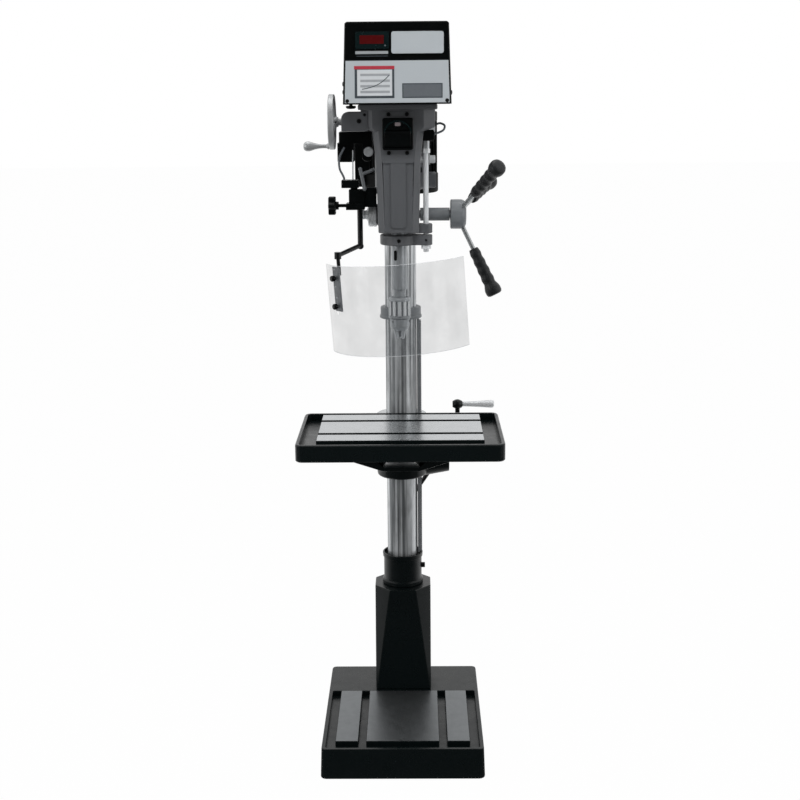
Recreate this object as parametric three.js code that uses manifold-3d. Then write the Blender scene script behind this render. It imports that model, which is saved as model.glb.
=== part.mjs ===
// A floor-standing, variable-speed drill press of the 15 inch class.
// Millimetres. +X is the operator's right, +Y is the back, +Z is up, and the origin is the middle of
// the foot of the base, on the floor.

import * as THREE from 'three';
import { ConvexGeometry } from 'three/addons/geometries/ConvexGeometry.js';
import { mergeVertices } from 'three/addons/utils/BufferGeometryUtils.js';
import Module from 'manifold-3d';

const wasm = await Module();
wasm.setup();

// ---------------------------------------------------------------- clearances
const GAP = 0.3; // between two pieces that touch
const RUN = 0.6; // around a piece that turns or slides
const WELD = 1e-4; // vertices closer than this are one
const ROUND = 28; // sides of the largest round pieces

// ---------------------------------------------------------------- base and pedestal
const BASE_WIDTH = 400;
const BASE_DEPTH = 489;
const BASE_HEIGHT = 79;
const BASE_FLARE = 3; // how far the foot spreads past the rim
const BASE_CORNER = 12;
const BASE_RIM = 10; // width of the rim round the front recess
const BASE_RECESS = 14; // depth of the recess under the rim
const BASE_SKIN = 12; // metal left above the pockets underneath
const BASE_RIB = 14;
const PLATFORM_DEPTH = 159; // the raised rear part that carries the pedestal
const MIDDLE_PAD = 182; // width of the middle work pad
const SIDE_PAD = 57;
const PAD_SLOT = 19.5; // the clamping slots between the pads
const PAD_SETBACK = 32; // from the inner side of the front rim to the pads

const PEDESTAL_HEIGHT = 283;
const PEDESTAL_WIDTH = 148;
const PEDESTAL_DEPTH = 144;
const PEDESTAL_CUT = 40; // corner cut at the top, which dies out at the foot
const PEDESTAL_WALL = 16;
const PEDESTAL_CAP = 30; // thickness of its top

const FLANGE_RADIUS = 54;
const FLANGE_HEIGHT = 86;
const FLANGE_LIP = 4; // wall of the lip round its open top
const FLANGE_SINK = 12; // depth of that open top
const FLANGE_SCREW = 8.5; // head radius of its set screw

// ---------------------------------------------------------------- column and rack
const COLUMN_RADIUS = 40;
const COLUMN_WALL = 7;
const THROAT = 230; // column axis to spindle axis
const RACK_THICKNESS = 11.6;
const RACK_WIDTH = 24;
const RACK_LENGTH = 632;
const RACK_PITCH = 12.5;
const RACK_TOOTH = 5;
const TOP_RING_RADIUS = 50;
const TOP_RING_HEIGHT = 32;

// ---------------------------------------------------------------- table and its bracket
const TABLE_WIDTH = 494;
const TABLE_DEPTH = 328;
const TABLE_TOP = 845; // height of the work surface in the rest pose
const TABLE_THICKNESS = 42;
const TABLE_CORNER = 18;
const TABLE_RIM = 9;
const TABLE_GUTTER = 38; // left, right and front, between rim and work surface
const TABLE_BACK_GUTTER = 12;
const TABLE_TRAY = 18; // depth of the gutter
const SLOT_NECK = 16; // T-slot
const SLOT_FOOT = 27;
const SLOT_NECK_DEPTH = 9;
const SLOT_SPACING = 130;
const TABLE_RIB = 12;
const TABLE_PLATE = 10; // metal left above the pockets underneath

const COLLAR_RADIUS = 65;
const COLLAR_RISE = 17; // table top down to the collar's top
const COLLAR_HEIGHT = 165;
const ARM_WIDTH = 96;
const ARM_TIP_WIDTH = 67;
const ARM_ROOT_HEIGHT = 106; // inside the collar
const ARM_HEIGHT = 86; // at the back of the plate under the table
const ARM_TIP_HEIGHT = 24;
const ARM_TIP_SETBACK = 20; // front of that plate back to the arm's tip
const SADDLE_WIDTH = 250; // the plate under the table
const SADDLE_DEPTH = 190;
const SADDLE_THICKNESS = 14;
const GUSSET = 12;
const GUSSET_EDGE = 67; // height of the side gussets at the plate's edge
const GUSSET_RISE = 92; // and beside the arm

const CRANK_REACH = 95; // crank shaft to crank handle
const CRANK_Y = 50; // crank shaft behind the column axis
const CRANK_DROP = 100; // table top down to the crank shaft
const HOUSING_END = 126; // right end of the gear housing
const HOUSING_TAIL = 88; // its foot below the crank shaft
const HOUSING_RADIUS = 26;
const CRANK_SHAFT = 9;
const CRANK_HUB = 13;
const CRANK_ARM_WIDTH = 12;
const CRANK_ARM_X = 142;
const CRANK_BOSS = 7; // how far the boss at its tip stands out each side
const CRANK_HANDLE_LENGTH = 84;
const CRANK_HANDLE_RADIUS = 10.5;
const LOCK_X = 93;
const LOCK_DROP = 74; // crank shaft down to the lock screw
const LOCK_LENGTH = 118;
const LOCK_SCREW = 6;
const LOCK_HUB = 14;
const LOCK_BAR = 6;
const LOCK_BALL = 9;
const LOCK_LEAN = 34; // degrees from straight down, to the left
const LIFT_PINION = 15; // radius
const WORM_WHEEL = 20;

// ---------------------------------------------------------------- head
const HEAD_BOTTOM = 1327;
const HEAD_TOP = 1621;
const HEAD_FRONT = 60; // spindle axis forward to the head's front face
const HEAD_BACK = 63; // column axis back to the end of the casting
const DECK_THICKNESS = 12;
const DECK_WIDTH = 182;
const SHOULDER_DEPTH = 52; // deck top down to the shoulder's underside
const SHOULDER_BACK = 60; // how far its sloped foot stops short of its back
const SHOULDER_WIDTH = 172;
const SHOULDER_FRONT = 120; // width across its front face
const NOSE_TOP_WIDTH = 120;
const NOSE_WAIST_WIDTH = 104;
const NOSE_FOOT_WIDTH = 95;
const NOSE_WAIST = 1496;
const NOSE_DEPTH = 119;
const NOSE_CUT = 14; // corner cuts
const NOSE_RIB_WIDTH = 35;
const NOSE_RIB_TOP = 1484;
const NOSE_RIB_FOOT = 1340;
const NOSE_RIB_PROUD = 3;
const BRIDGE_WIDTH = 104;
const BRIDGE_HEIGHT = 150;
const HOUSE_RADIUS = 62; // the part round the column
const HOUSE_HEIGHT = 210;
const CLAMP_PROUD = 12; // the clamping lug's reach past the round part
const CLAMP_BOSS = 38; // height of the boss at its foot
const CLAMP_BOSS_PROUD = 29;
const LUG_REACH = 15; // lug round the stop rod
const LUG_HEIGHT = 22;
const LUG_DROP = 3; // below the casting's foot

const SWITCH_PAD_WIDTH = 74;
const SWITCH_PAD_HEIGHT = 115;
const SWITCH_PAD_PROUD = 4;
const SWITCH_PAD_TOP = 17; // deck top down to the pad
const SWITCH_WIDTH = 71;
const SWITCH_HEIGHT = 72;
const SWITCH_DEPTH = 17;
const SWITCH_DROP = 30; // deck top down to the switch
const START_WIDTH = 17;
const START_HEIGHT = 12;
const PADDLE_HEIGHT = 38;
const PADDLE_THICKNESS = 6;
const PADDLE_LIP = 9;

// ---------------------------------------------------------------- quill, spindle and chuck
const QUILL_RADIUS = 18.5;
const QUILL_FOOT = 1188;
const QUILL_LENGTH = 330;
const QUILL_TRAVEL = 150;
const SPINDLE_RADIUS = 10;
const SPINDLE_TOP = 1776;
const BEARING_RADIUS = 15.5;
const BEARING_HEIGHT = 12;
const QUILL_COLLAR_HEIGHT = 24;
const QUILL_COLLAR_TOP = 1320;
const QUILL_COLLAR_RADIUS = 45;
const QUILL_COLLAR_LUG = 15; // radius of the lug round the stop rod
const CHUCK_TOP = 1170;
const SLEEVE_RADIUS = 27;
const SLEEVE_HEIGHT = 51;
const SLEEVE_FLUTES = 12;
const CHUCK_RADIUS = 23.5;
const CHUCK_HEIGHT = 30; // what shows under the sleeve
const JAW_SIZE = 8;
const JAW_SHOWING = 20;
const JAW_LEAN = 14; // degrees
const JAW_TRAVEL = 11;
const JAW_RELIEF = 4; // room behind a jaw drawn fully in
const KEY_HOLE = 4;
const LEVER_Z = 1474; // quill lock screw
const LEVER_FORWARD = 27; // spindle axis forward to it
const LEVER_REACH = 31; // nose out to the cross bar
const LEVER_FALL = 12; // lock screw down to the cross bar
const LEVER_UP = 16; // cross bar above and below that
const LEVER_DOWN = 38;
const LEVER_LEAN = 11.5; // degrees
const LEVER_RADIUS = 4;

// ---------------------------------------------------------------- depth stop
const STOP_X = 64;
const STOP_FORWARD = 15; // spindle axis forward to the stop rod
const STOP_RADIUS = 6.5;
const STOP_FOOT = 1279;
const STOP_MARGIN = 13; // left between nut and lug with the quill fully down
const STOP_TAIL = 31; // nut's foot up to the rod's top
const STOP_NUT = 10.5;
const STOP_NUT_HEIGHT = 11;

// ---------------------------------------------------------------- feed
const FEED_Z = 1363;
const FEED_BACK = 38; // spindle axis back to the feed shaft
const FEED_SHAFT = 10;
const FEED_SLEEVE = 15.5;
const FEED_SLEEVE_END = 121;
const FEED_PINION = 17.5;
const FEED_PINION_WIDTH = 30;
const HUB_RADIUS = 35;
const HUB_LENGTH = 39;
const SPOKES = 3;
const SPOKE_LEAN = 25.6; // degrees from the plane of rotation
const SPOKE_START = 141; // degrees from the back, up and over, to the first spoke
const SPOKE_SEAT = 25; // hub's inner face out to the middle of a spoke's root
const SPOKE_INSET = 40; // how far a spoke runs into its grip
const SPOKE_RADIUS = 5.5;
const SPOKE_LENGTH = 111;
const GRIP_LENGTH = 122;
const GRIP_WAIST = 10;
const GRIP_SWELL = 13.5;
const GRIP_END = 19.5;
const GRIP_WAVES = 4;
const SPRING_CAP_RADIUS = 28.5;
const SPRING_CAP_WIDTH = 20;
const SPRING_NUT_WIDTH = 14;
const SPRING_TURNS = 3;

// ---------------------------------------------------------------- cover, panel and drive
const COVER_WIDTH = 243;
const COVER_DRAFT = 5; // how far each side leans in over its height
const COVER_HEIGHT = 180;
const COVER_FRONT = 128; // spindle axis forward to the foot of its front
const COVER_LEAN = 30; // how far the front leans back over its height
const COVER_BACK = 280; // column axis back to its end
const COVER_ROUND = 105; // plan radius of its back corners
const COVER_WALL = 3;
const PAN_THICKNESS = 4;
const PANEL_SPLIT = 95; // cover foot up to the edge between light and black panels
const PANEL_MARGIN = 0.5; // on each side
const PANEL_FOOT = 4; // cover foot up to the light panel
const PANEL_THICKNESS = 1.5;
const DISPLAY_WIDTH = 76;
const DISPLAY_HEIGHT = 44;
const DISPLAY_THICKNESS = 5;
const DISPLAY_LEFT = -97;
const DISPLAY_FOOT = 120; // cover foot up to it
const WINDOW_WIDTH = 60;
const WINDOW_HEIGHT = 20;

const MOTOR_BACK = 168; // column axis back to the motor shaft
const MOTOR_RADIUS = 98;
const MOTOR_BOTTOM = 1392;
const MOTOR_TOP = 1600;
const MOTOR_COWL = 50;
const MOTOR_FINS = 12;
const MOTOR_FIN = 5;
const MOTOR_BOX = 20; // how far the wiring box stands out on its left
const MOTOR_PLATE = 12;
const MOTOR_SHAFT = 9;
const PULLEY_RADIUS = 62;
const PULLEY_HUB = 20;
const PULLEY_HEIGHT = 52;
const PULLEY_LIFT = 24; // over the pan
const BELT_WIDTH = 26;
const BELT_THICKNESS = 11;

// ---------------------------------------------------------------- speed control
const SPEED_FORWARD = 20; // spindle axis forward to the speed wheel's axis
const SPEED_Z = 1582;
const GEARBOX_LEFT = 130;
const GEARBOX_RIGHT = 69;
const GEARBOX_HEIGHT = 44;
const GEARBOX_FORWARD = 33; // wheel's axis forward to the gearbox's front
const GEARBOX_BACKWARD = 35; // and back to its back
const GEARBOX_DROP = 4; // under the deck
const GEARBOX_ROUND = 16;
const WHEEL_RADIUS = 63;
const WHEEL_RIM = 7;
const WHEEL_X = 153;
const WHEEL_RIM_DEPTH = 9;
const WHEEL_SPOKES = [90, 210, 330]; // degrees
const WHEEL_SPOKE = 5;
const WHEEL_HUB = 13;
const WHEEL_SHAFT = 8;
const WHEEL_SHAFT_DEPTH = 36; // how far it runs into the gearbox
const WHEEL_HANDLE_REACH = 55;
const WHEEL_HANDLE_LENGTH = 60;
const WHEEL_HANDLE_RADIUS = 11.5;
const BOX_LEFT = 143;
const BOX_RIGHT = 103;
const BOX_TOP = 1559;
const BOX_HEIGHT = 70;
const BOX_DEPTH = 74;
const BOX_NECK = 28; // height of the part that reaches the head
const BOX_BEHIND = 20; // wheel's axis back to its front

// ---------------------------------------------------------------- chuck guard
const GUARD_X = -92; // the upright rod the guard swings on
const GUARD_BLOCK_TOP = 1426;
const GUARD_BLOCK_LEFT = -117;
const GUARD_BLOCK_HEIGHT = 46;
const GUARD_BLOCK_WIDTH = 37;
const GUARD_BLOCK_DEPTH = 34;
const GUARD_FLANGE = 7; // how far the flange at its foot stands out
const GUARD_FLANGE_HEIGHT = 14;
const GUARD_CAP_LEFT = -134; // the limit switch on top of it
const GUARD_CAP_WIDTH = 41;
const GUARD_CAP_DEPTH = 40;
const GUARD_CAP_HEIGHT = 18;
const GUARD_ROD = 6.5;
const GUARD_ROD_FOOT = 1288;
const GUARD_KNUCKLE = 8;
const GUARD_PIN = 4.5; // the thin pin the strip hangs from
const GUARD_PIN_LENGTH = 26;
const GUARD_TILT = 3.9; // degrees
const GUARD_KNOB = 23.5;
const GUARD_KNOB_LEFT = -166;
const GUARD_KNOB_THICKNESS = 17;
const GUARD_KNOB_NECK = 9.5;
const GUARD_KNOB_STUD = 4;
const GUARD_KNOB_LOBES = 6;
const SHIELD_RADIUS = 176;
const SHIELD_THICKNESS = 3;
const SHIELD_RIGHT = -57.6; // degrees from the front
const SHIELD_LEFT = 74;
const SHIELD_TOP = 1258;
const SHIELD_HEIGHT = 209;
const SHIELD_SLOT = 40;
const STRIP_ANGLE = 58; // degrees from the front
const STRIP_WIDTH = 30;
const STRIP_THICKNESS = 4;
const STRIP_HEIGHT = 104;
const STRIP_DROP = 4; // shield's top edge down to the strip
const THUMB_UPPER = 30; // shield's top edge down to the upper thumb screw
const THUMB_SCREW = 7;
const CABLE_RADIUS = 2.5;

// ---------------------------------------------------------------- places worked out from these
const RACK_FOOT = BASE_HEIGHT + PEDESTAL_HEIGHT + FLANGE_HEIGHT;
const COLUMN_Y = BASE_DEPTH / 2 - PLATFORM_DEPTH / 2;
const SPINDLE_Y = COLUMN_Y - THROAT;
const PEDESTAL_TOP = BASE_HEIGHT + PEDESTAL_HEIGHT;
const RACK_X = COLUMN_RADIUS + RUN;
const RACK_TOP = RACK_FOOT + RACK_LENGTH;
const COLUMN_TOP = HEAD_TOP - DECK_THICKNESS - 8;
const TABLE_Y = SPINDLE_Y;
const COLLAR_TOP = TABLE_TOP - COLLAR_RISE;
const CRANK_Z = TABLE_TOP - CRANK_DROP;
const CRANK_AXIS_Y = COLUMN_Y + CRANK_Y;
const LIFT_X = RACK_X + RACK_THICKNESS + RUN + LIFT_PINION;
const LIFT_Z = CRANK_Z - WORM_WHEEL - CRANK_SHAFT - RUN;
const STOP_Y = SPINDLE_Y - STOP_FORWARD;
const LUG_TOP = HEAD_BOTTOM - LUG_DROP + LUG_HEIGHT;
const STOP_NUT_FOOT = LUG_TOP + QUILL_TRAVEL + STOP_MARGIN;
const STOP_BORE = 60; // depth of the head's bore for its rod
const NUT_ROOM = 60; // how far the room for its nuts reaches below the nose's waist
const STOP_TOP = STOP_NUT_FOOT + STOP_TAIL;
const SPEED_Y = SPINDLE_Y - SPEED_FORWARD;
const GUARD_Y = SPINDLE_Y;
const NOSE_FRONT = SPINDLE_Y - HEAD_FRONT;
const NOSE_BACK = NOSE_FRONT + NOSE_DEPTH;
const FEED_Y = SPINDLE_Y + FEED_BACK;
const HUB_X = FEED_SLEEVE_END + RUN;
const PAN_TOP = HEAD_TOP + GAP + PAN_THICKNESS;
const COVER_FOOT = HEAD_TOP + 2 * GAP;
const COVER_TOP_WIDTH = COVER_WIDTH - 2 * COVER_DRAFT;
const COVER_FRONT_Y = SPINDLE_Y - COVER_FRONT;
const COVER_BACK_Y = COLUMN_Y + COVER_BACK;
const MOTOR_Y = COLUMN_Y + MOTOR_BACK;
const PULLEY_Z = PAN_TOP + PULLEY_LIFT;
const SWITCH_FACE = NOSE_FRONT - SWITCH_PAD_PROUD - GAP;

// ---------------------------------------------------------------- solids
const X = new THREE.Vector3(1, 0, 0);
const Y = new THREE.Vector3(0, 1, 0);
const Z = new THREE.Vector3(0, 0, 1);

// A closed three.js geometry as a solid with its faces pointing out.
function solid(geometry) {
  const bare = geometry.clone();
  bare.deleteAttribute('normal');
  bare.deleteAttribute('uv');
  const merged = mergeVertices(bare, WELD);
  const index = merged.index.array;
  const triangles = [];
  for (let i = 0; i < index.length; i += 3) {
    const [a, b, c] = [index[i], index[i + 1], index[i + 2]];
    if (a !== b && b !== c && c !== a) {
      triangles.push(a, b, c);
    }
  }
  const vertProperties = merged.attributes.position.array;
  const build = (corners) => new wasm.Manifold(
    new wasm.Mesh({ numProp: 3, vertProperties, triVerts: Uint32Array.from(corners) }),
  );
  const body = build(triangles);
  return body.volume() > 0 ? body : build(triangles.reverse());
}

function union(...bodies) {
  return bodies.reduce((whole, body) => whole.add(body));
}

function cut(body, ...tools) {
  return tools.reduce((whole, tool) => whole.subtract(tool), body);
}

function block([x0, x1], [y0, y1], [z0, z1]) {
  const box = new THREE.BoxGeometry(x1 - x0, y1 - y0, z1 - z0);
  return solid(box.translate((x0 + x1) / 2, (y0 + y1) / 2, (z0 + z1) / 2));
}

// For each axis: the two directions across it, in the order in which a centre names them.
const ACROSS = { x: [Y, Z, X], y: [X, Z, Y], z: [X, Y, Z] };

// An outline drawn across an axis, from one place on that axis to another. The bevel stays inside.
function plate(axis, outline, [from, to], bevel = 0, curveSegments = 3) {
  const geometry = new THREE.ExtrudeGeometry(outline, {
    depth: to - from - 2 * bevel,
    bevelEnabled: bevel > 0,
    bevelSize: bevel,
    bevelThickness: bevel,
    bevelOffset: -bevel,
    bevelSegments: 1,
    curveSegments,
  });
  geometry.translate(0, 0, from + bevel);
  return solid(geometry.applyMatrix4(new THREE.Matrix4().makeBasis(...ACROSS[axis])));
}

// A profile of [radius, place on the axis] points, turned about an axis.
function turned(axis, profile, [u, v], sides = 16) {
  const points = profile.map(([radius, place]) => new THREE.Vector2(radius, place));
  const geometry = new THREE.LatheGeometry([...points, points[0]], sides);
  const [across, up, along] = ACROSS[axis];
  geometry.applyMatrix4(new THREE.Matrix4().makeBasis(across, along, up));
  const centre = across.clone().multiplyScalar(u).addScaledVector(up, v);
  return solid(geometry.translate(centre.x, centre.y, centre.z));
}

function rod(axis, radius, [from, to], centre, sides = 16) {
  return turned(axis, [[0, from], [radius, from], [radius, to], [0, to]], centre, sides);
}

function ring(axis, inner, outer, [from, to], centre, sides = 16) {
  return turned(axis, [[inner, from], [outer, from], [outer, to], [inner, to]], centre, sides);
}

// A profile of [radius, distance] points, turned about the line from a point in a direction.
function along(start, direction, profile, sides = 10) {
  const points = profile.map(([radius, place]) => new THREE.Vector2(radius, place));
  const geometry = new THREE.LatheGeometry([...points, points[0]], sides);
  const turn = new THREE.Quaternion().setFromUnitVectors(Y, direction.clone().normalize());
  return solid(geometry.applyQuaternion(turn).translate(start.x, start.y, start.z));
}

function bar(start, end, radius, sides = 10) {
  const reach = end.clone().sub(start);
  const length = reach.length();
  return along(start, reach, [[0, 0], [radius, 0], [radius, length], [0, length]], sides);
}

// The convex solid around flat outlines of [x, y] points, each at its own height.
function loft(...levels) {
  const points = levels.flatMap(([z, outline]) => outline.map(([x, y]) => new THREE.Vector3(x, y, z)));
  return solid(new ConvexGeometry(points));
}

function hull(points) {
  return solid(new ConvexGeometry(points));
}

function tube(points, radius, steps, sides = 8) {
  const section = new THREE.Shape(circle(radius, sides));
  const path = new THREE.CatmullRomCurve3(points);
  return solid(new THREE.ExtrudeGeometry(section, { steps, extrudePath: path, bevelEnabled: false }));
}

// ---------------------------------------------------------------- outlines
function circle(radius, sides, [u, v] = [0, 0], turn = 0) {
  return Array.from({ length: sides }, (_, i) => {
    const angle = (2 * Math.PI * i) / sides + turn;
    return new THREE.Vector2(u + radius * Math.cos(angle), v + radius * Math.sin(angle));
  });
}

function polygon(...points) {
  return new THREE.Shape(points.map(([u, v]) => new THREE.Vector2(u, v)));
}

function rounded([u0, u1], [v0, v1], radius) {
  const shape = new THREE.Shape();
  shape.moveTo(u0 + radius, v0);
  shape.absarc(u1 - radius, v0 + radius, radius, -Math.PI / 2, 0);
  shape.absarc(u1 - radius, v1 - radius, radius, 0, Math.PI / 2);
  shape.absarc(u0 + radius, v1 - radius, radius, Math.PI / 2, Math.PI);
  shape.absarc(u0 + radius, v0 + radius, radius, Math.PI, 1.5 * Math.PI);
  return shape;
}

// A rectangle's corners with each corner cut off, as [x, y] points.
function cutCorners(width, [y0, y1], front, back) {
  const half = width / 2;
  return [
    [-half + front, y0], [half - front, y0], [half, y0 + front], [half, y1 - back],
    [half - back, y1], [-half + back, y1], [-half, y1 - back], [-half, y0 + front],
  ];
}

function roundedPoints(width, depth, radius, steps = 4) {
  const points = [];
  for (let corner = 0; corner < 4; corner += 1) {
    const x = (width / 2 - radius) * (corner === 0 || corner === 3 ? 1 : -1);
    const y = (depth / 2 - radius) * (corner < 2 ? 1 : -1);
    for (let i = 0; i <= steps; i += 1) {
      const angle = (corner + i / steps) * (Math.PI / 2);
      points.push([x + radius * Math.cos(angle), y + radius * Math.sin(angle)]);
    }
  }
  return points;
}

const radians = THREE.MathUtils.degToRad;
const at = (x, y, z) => new THREE.Vector3(x, y, z);

// ---------------------------------------------------------------- scene
const press = new THREE.Group();

const FINISH = {
  black: { color: 0x15171a, roughness: 0.5, metalness: 0 },
  grey: { color: 0x55585c, roughness: 0.5, metalness: 0 },
  steel: { color: 0x9da0a3, roughness: 0.35, metalness: 1 },
  bright: { color: 0xc4c7ca, roughness: 0.25, metalness: 1 },
  zinc: { color: 0xa9acae, roughness: 0.4, metalness: 1 },
  ground: { color: 0x84878a, roughness: 0.5, metalness: 1 },
  plastic: { color: 0x121314, roughness: 0.55, metalness: 0 },
  light: { color: 0xb9bdc1, roughness: 0.5, metalness: 0 },
  rubber: { color: 0x1b1c1d, roughness: 0.8, metalness: 0 },
  window: { color: 0x7a0d10, roughness: 0.15, metalness: 0 },
  button: { color: 0xd8dad6, roughness: 0.4, metalness: 0 },
  clear: { color: 0xe6ecef, roughness: 0.05, metalness: 0 },
};

function part(name, body, finish, group = press) {
  const { vertProperties, triVerts } = body.getMesh();
  const geometry = new THREE.BufferGeometry();
  geometry.setAttribute('position', new THREE.BufferAttribute(Float32Array.from(vertProperties), 3));
  geometry.setIndex(new THREE.BufferAttribute(Uint32Array.from(triVerts), 1));
  geometry.computeVertexNormals();
  const mesh = new THREE.Mesh(geometry, new THREE.MeshStandardMaterial(FINISH[finish]));
  mesh.name = name;
  group.add(mesh);
}

// ---------------------------------------------------------------- base and pedestal
function basePads() {
  const front = -BASE_DEPTH / 2 + BASE_RIM + PAD_SETBACK;
  const back = BASE_DEPTH / 2 - PLATFORM_DEPTH;
  const sideStart = MIDDLE_PAD / 2 + PAD_SLOT;
  const spans = [
    [-sideStart - SIDE_PAD, -sideStart],
    [-MIDDLE_PAD / 2, MIDDLE_PAD / 2],
    [sideStart, sideStart + SIDE_PAD],
  ];
  const height = [BASE_HEIGHT - BASE_RECESS - 1, BASE_HEIGHT];
  return spans.map((span) => block(span, [front, back + 1], height));
}

function basePockets() {
  const columns = 4;
  const rows = 4;
  const width = (BASE_WIDTH - 2 * BASE_RIB - (columns - 1) * BASE_RIB) / columns;
  const depth = (BASE_DEPTH - 2 * BASE_RIB - (rows - 1) * BASE_RIB) / rows;
  const pockets = [];
  for (let i = 0; i < columns; i += 1) {
    for (let j = 0; j < rows; j += 1) {
      const x = -BASE_WIDTH / 2 + BASE_RIB + i * (width + BASE_RIB);
      const y = -BASE_DEPTH / 2 + BASE_RIB + j * (depth + BASE_RIB);
      pockets.push(block([x, x + width], [y, y + depth], [-1, BASE_HEIGHT - BASE_RECESS - BASE_SKIN]));
    }
  }
  return pockets;
}

function base() {
  const body = loft(
    [0, roundedPoints(BASE_WIDTH + 2 * BASE_FLARE, BASE_DEPTH + 2 * BASE_FLARE, BASE_CORNER + BASE_FLARE)],
    [BASE_HEIGHT, roundedPoints(BASE_WIDTH, BASE_DEPTH, BASE_CORNER)],
  );
  const inner = BASE_WIDTH / 2 - BASE_RIM;
  const recess = plate(
    'z',
    rounded([-inner, inner], [-BASE_DEPTH / 2 + BASE_RIM, BASE_DEPTH / 2 - PLATFORM_DEPTH], 5),
    [BASE_HEIGHT - BASE_RECESS, BASE_HEIGHT + 1],
  );
  const centreRib = block([-40, 40], [-30, 30], [0, BASE_HEIGHT - BASE_RECESS - BASE_SKIN + 1]);
  return union(cut(body, recess, ...basePockets()), centreRib, ...basePads());
}

// The pedestal is square at its foot and eight-sided at its top.
function pedestalShape(inset, z0, z1) {
  const width = PEDESTAL_WIDTH - 2 * inset;
  const span = [COLUMN_Y - PEDESTAL_DEPTH / 2 + inset, COLUMN_Y + PEDESTAL_DEPTH / 2 - inset];
  return loft(
    [z0, cutCorners(width, span, 3, 3)],
    [z1, cutCorners(width, span, PEDESTAL_CUT, PEDESTAL_CUT)],
  );
}

function pedestal() {
  const foot = BASE_HEIGHT + GAP;
  const ceiling = PEDESTAL_TOP - PEDESTAL_CAP;
  const shell = cut(
    pedestalShape(0, foot, PEDESTAL_TOP),
    pedestalShape(PEDESTAL_WALL, foot - 1, ceiling),
  );
  return cut(shell, rod('z', COLUMN_RADIUS + GAP, [ceiling - 1, PEDESTAL_TOP + 1], [0, COLUMN_Y], ROUND));
}

function columnFlange() {
  const foot = PEDESTAL_TOP + GAP;
  const top = PEDESTAL_TOP + FLANGE_HEIGHT;
  const bore = COLUMN_RADIUS + GAP;
  const lip = FLANGE_RADIUS - FLANGE_LIP;
  const body = turned('z', [
    [bore, foot], [FLANGE_RADIUS, foot], [FLANGE_RADIUS, top - 3], [FLANGE_RADIUS - 2, top],
    [lip, top], [lip, top - FLANGE_SINK], [bore, top - FLANGE_SINK],
  ], [0, COLUMN_Y], ROUND);
  const hole = rod('x', FLANGE_SCREW - 3 + GAP, [0, FLANGE_RADIUS + 1], [COLUMN_Y, screwHeight()], 12);
  return cut(body, hole);
}

function screwHeight() {
  return PEDESTAL_TOP + FLANGE_HEIGHT / 2 + 3;
}

function flangeScrew() {
  const centre = [COLUMN_Y, screwHeight()];
  return union(
    rod('x', FLANGE_SCREW - 3, [COLUMN_RADIUS + GAP, FLANGE_RADIUS + 2], centre, 12),
    rod('x', FLANGE_SCREW, [FLANGE_RADIUS + 1, FLANGE_RADIUS + 6], centre, 12),
  );
}

part('base', base(), 'black');
part('pedestal', pedestal(), 'black');
part('column_flange', columnFlange(), 'black');
part('flange_screw', flangeScrew(), 'zinc');

// ---------------------------------------------------------------- column and rack
function column() {
  const span = [PEDESTAL_TOP - PEDESTAL_CAP + 2, COLUMN_TOP];
  return ring('z', COLUMN_RADIUS - COLUMN_WALL, COLUMN_RADIUS, span, [0, COLUMN_Y], ROUND);
}

function rack() {
  const foot = RACK_FOOT + GAP;
  const top = RACK_TOP - GAP;
  const root = RACK_X + RACK_THICKNESS - RACK_TOOTH;
  const tip = RACK_X + RACK_THICKNESS;
  const teeth = Math.floor((top - foot) / RACK_PITCH) - 1;
  const start = (top + foot - teeth * RACK_PITCH) / 2;
  const outline = [[RACK_X, foot], [tip, foot], [tip, start - RACK_PITCH * 0.25]];
  for (let i = 0; i < teeth; i += 1) {
    const z = start + i * RACK_PITCH;
    outline.push([root, z], [root, z + RACK_PITCH * 0.25]);
    outline.push([tip, z + RACK_PITCH * 0.5], [tip, z + RACK_PITCH * 0.75]);
  }
  outline.push([tip, top], [RACK_X, top]);
  return plate('y', polygon(...outline), [COLUMN_Y - RACK_WIDTH / 2, COLUMN_Y + RACK_WIDTH / 2]);
}

function rackTopRing() {
  const bore = COLUMN_RADIUS + GAP;
  const foot = RACK_TOP + GAP;
  const top = RACK_TOP + TOP_RING_HEIGHT;
  return turned('z', [
    [bore, foot + 5], [bore + 5, foot + 5], [TOP_RING_RADIUS + 4, foot], [TOP_RING_RADIUS + 4, foot + 8],
    [TOP_RING_RADIUS, foot + 13], [TOP_RING_RADIUS, top - 3], [TOP_RING_RADIUS - 3, top], [bore, top],
  ], [0, COLUMN_Y], ROUND);
}

part('column', column(), 'steel');
part('rack', rack(), 'steel');
part('rack_top_ring', rackTopRing(), 'grey');

// ---------------------------------------------------------------- table
function tableTray() {
  const x = TABLE_WIDTH / 2 - TABLE_RIM;
  const y0 = TABLE_Y - TABLE_DEPTH / 2 + TABLE_RIM;
  const y1 = TABLE_Y + TABLE_DEPTH / 2 - TABLE_RIM;
  const corner = TABLE_CORNER - TABLE_RIM;
  return plate('z', rounded([-x, x], [y0, y1], corner), [TABLE_TOP - TABLE_TRAY, TABLE_TOP + 1]);
}

function workSpan() {
  const y0 = TABLE_Y - TABLE_DEPTH / 2 + TABLE_RIM + TABLE_GUTTER - 3;
  const y1 = TABLE_Y + TABLE_DEPTH / 2 - TABLE_RIM - TABLE_BACK_GUTTER;
  return [y0, y1];
}

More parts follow.
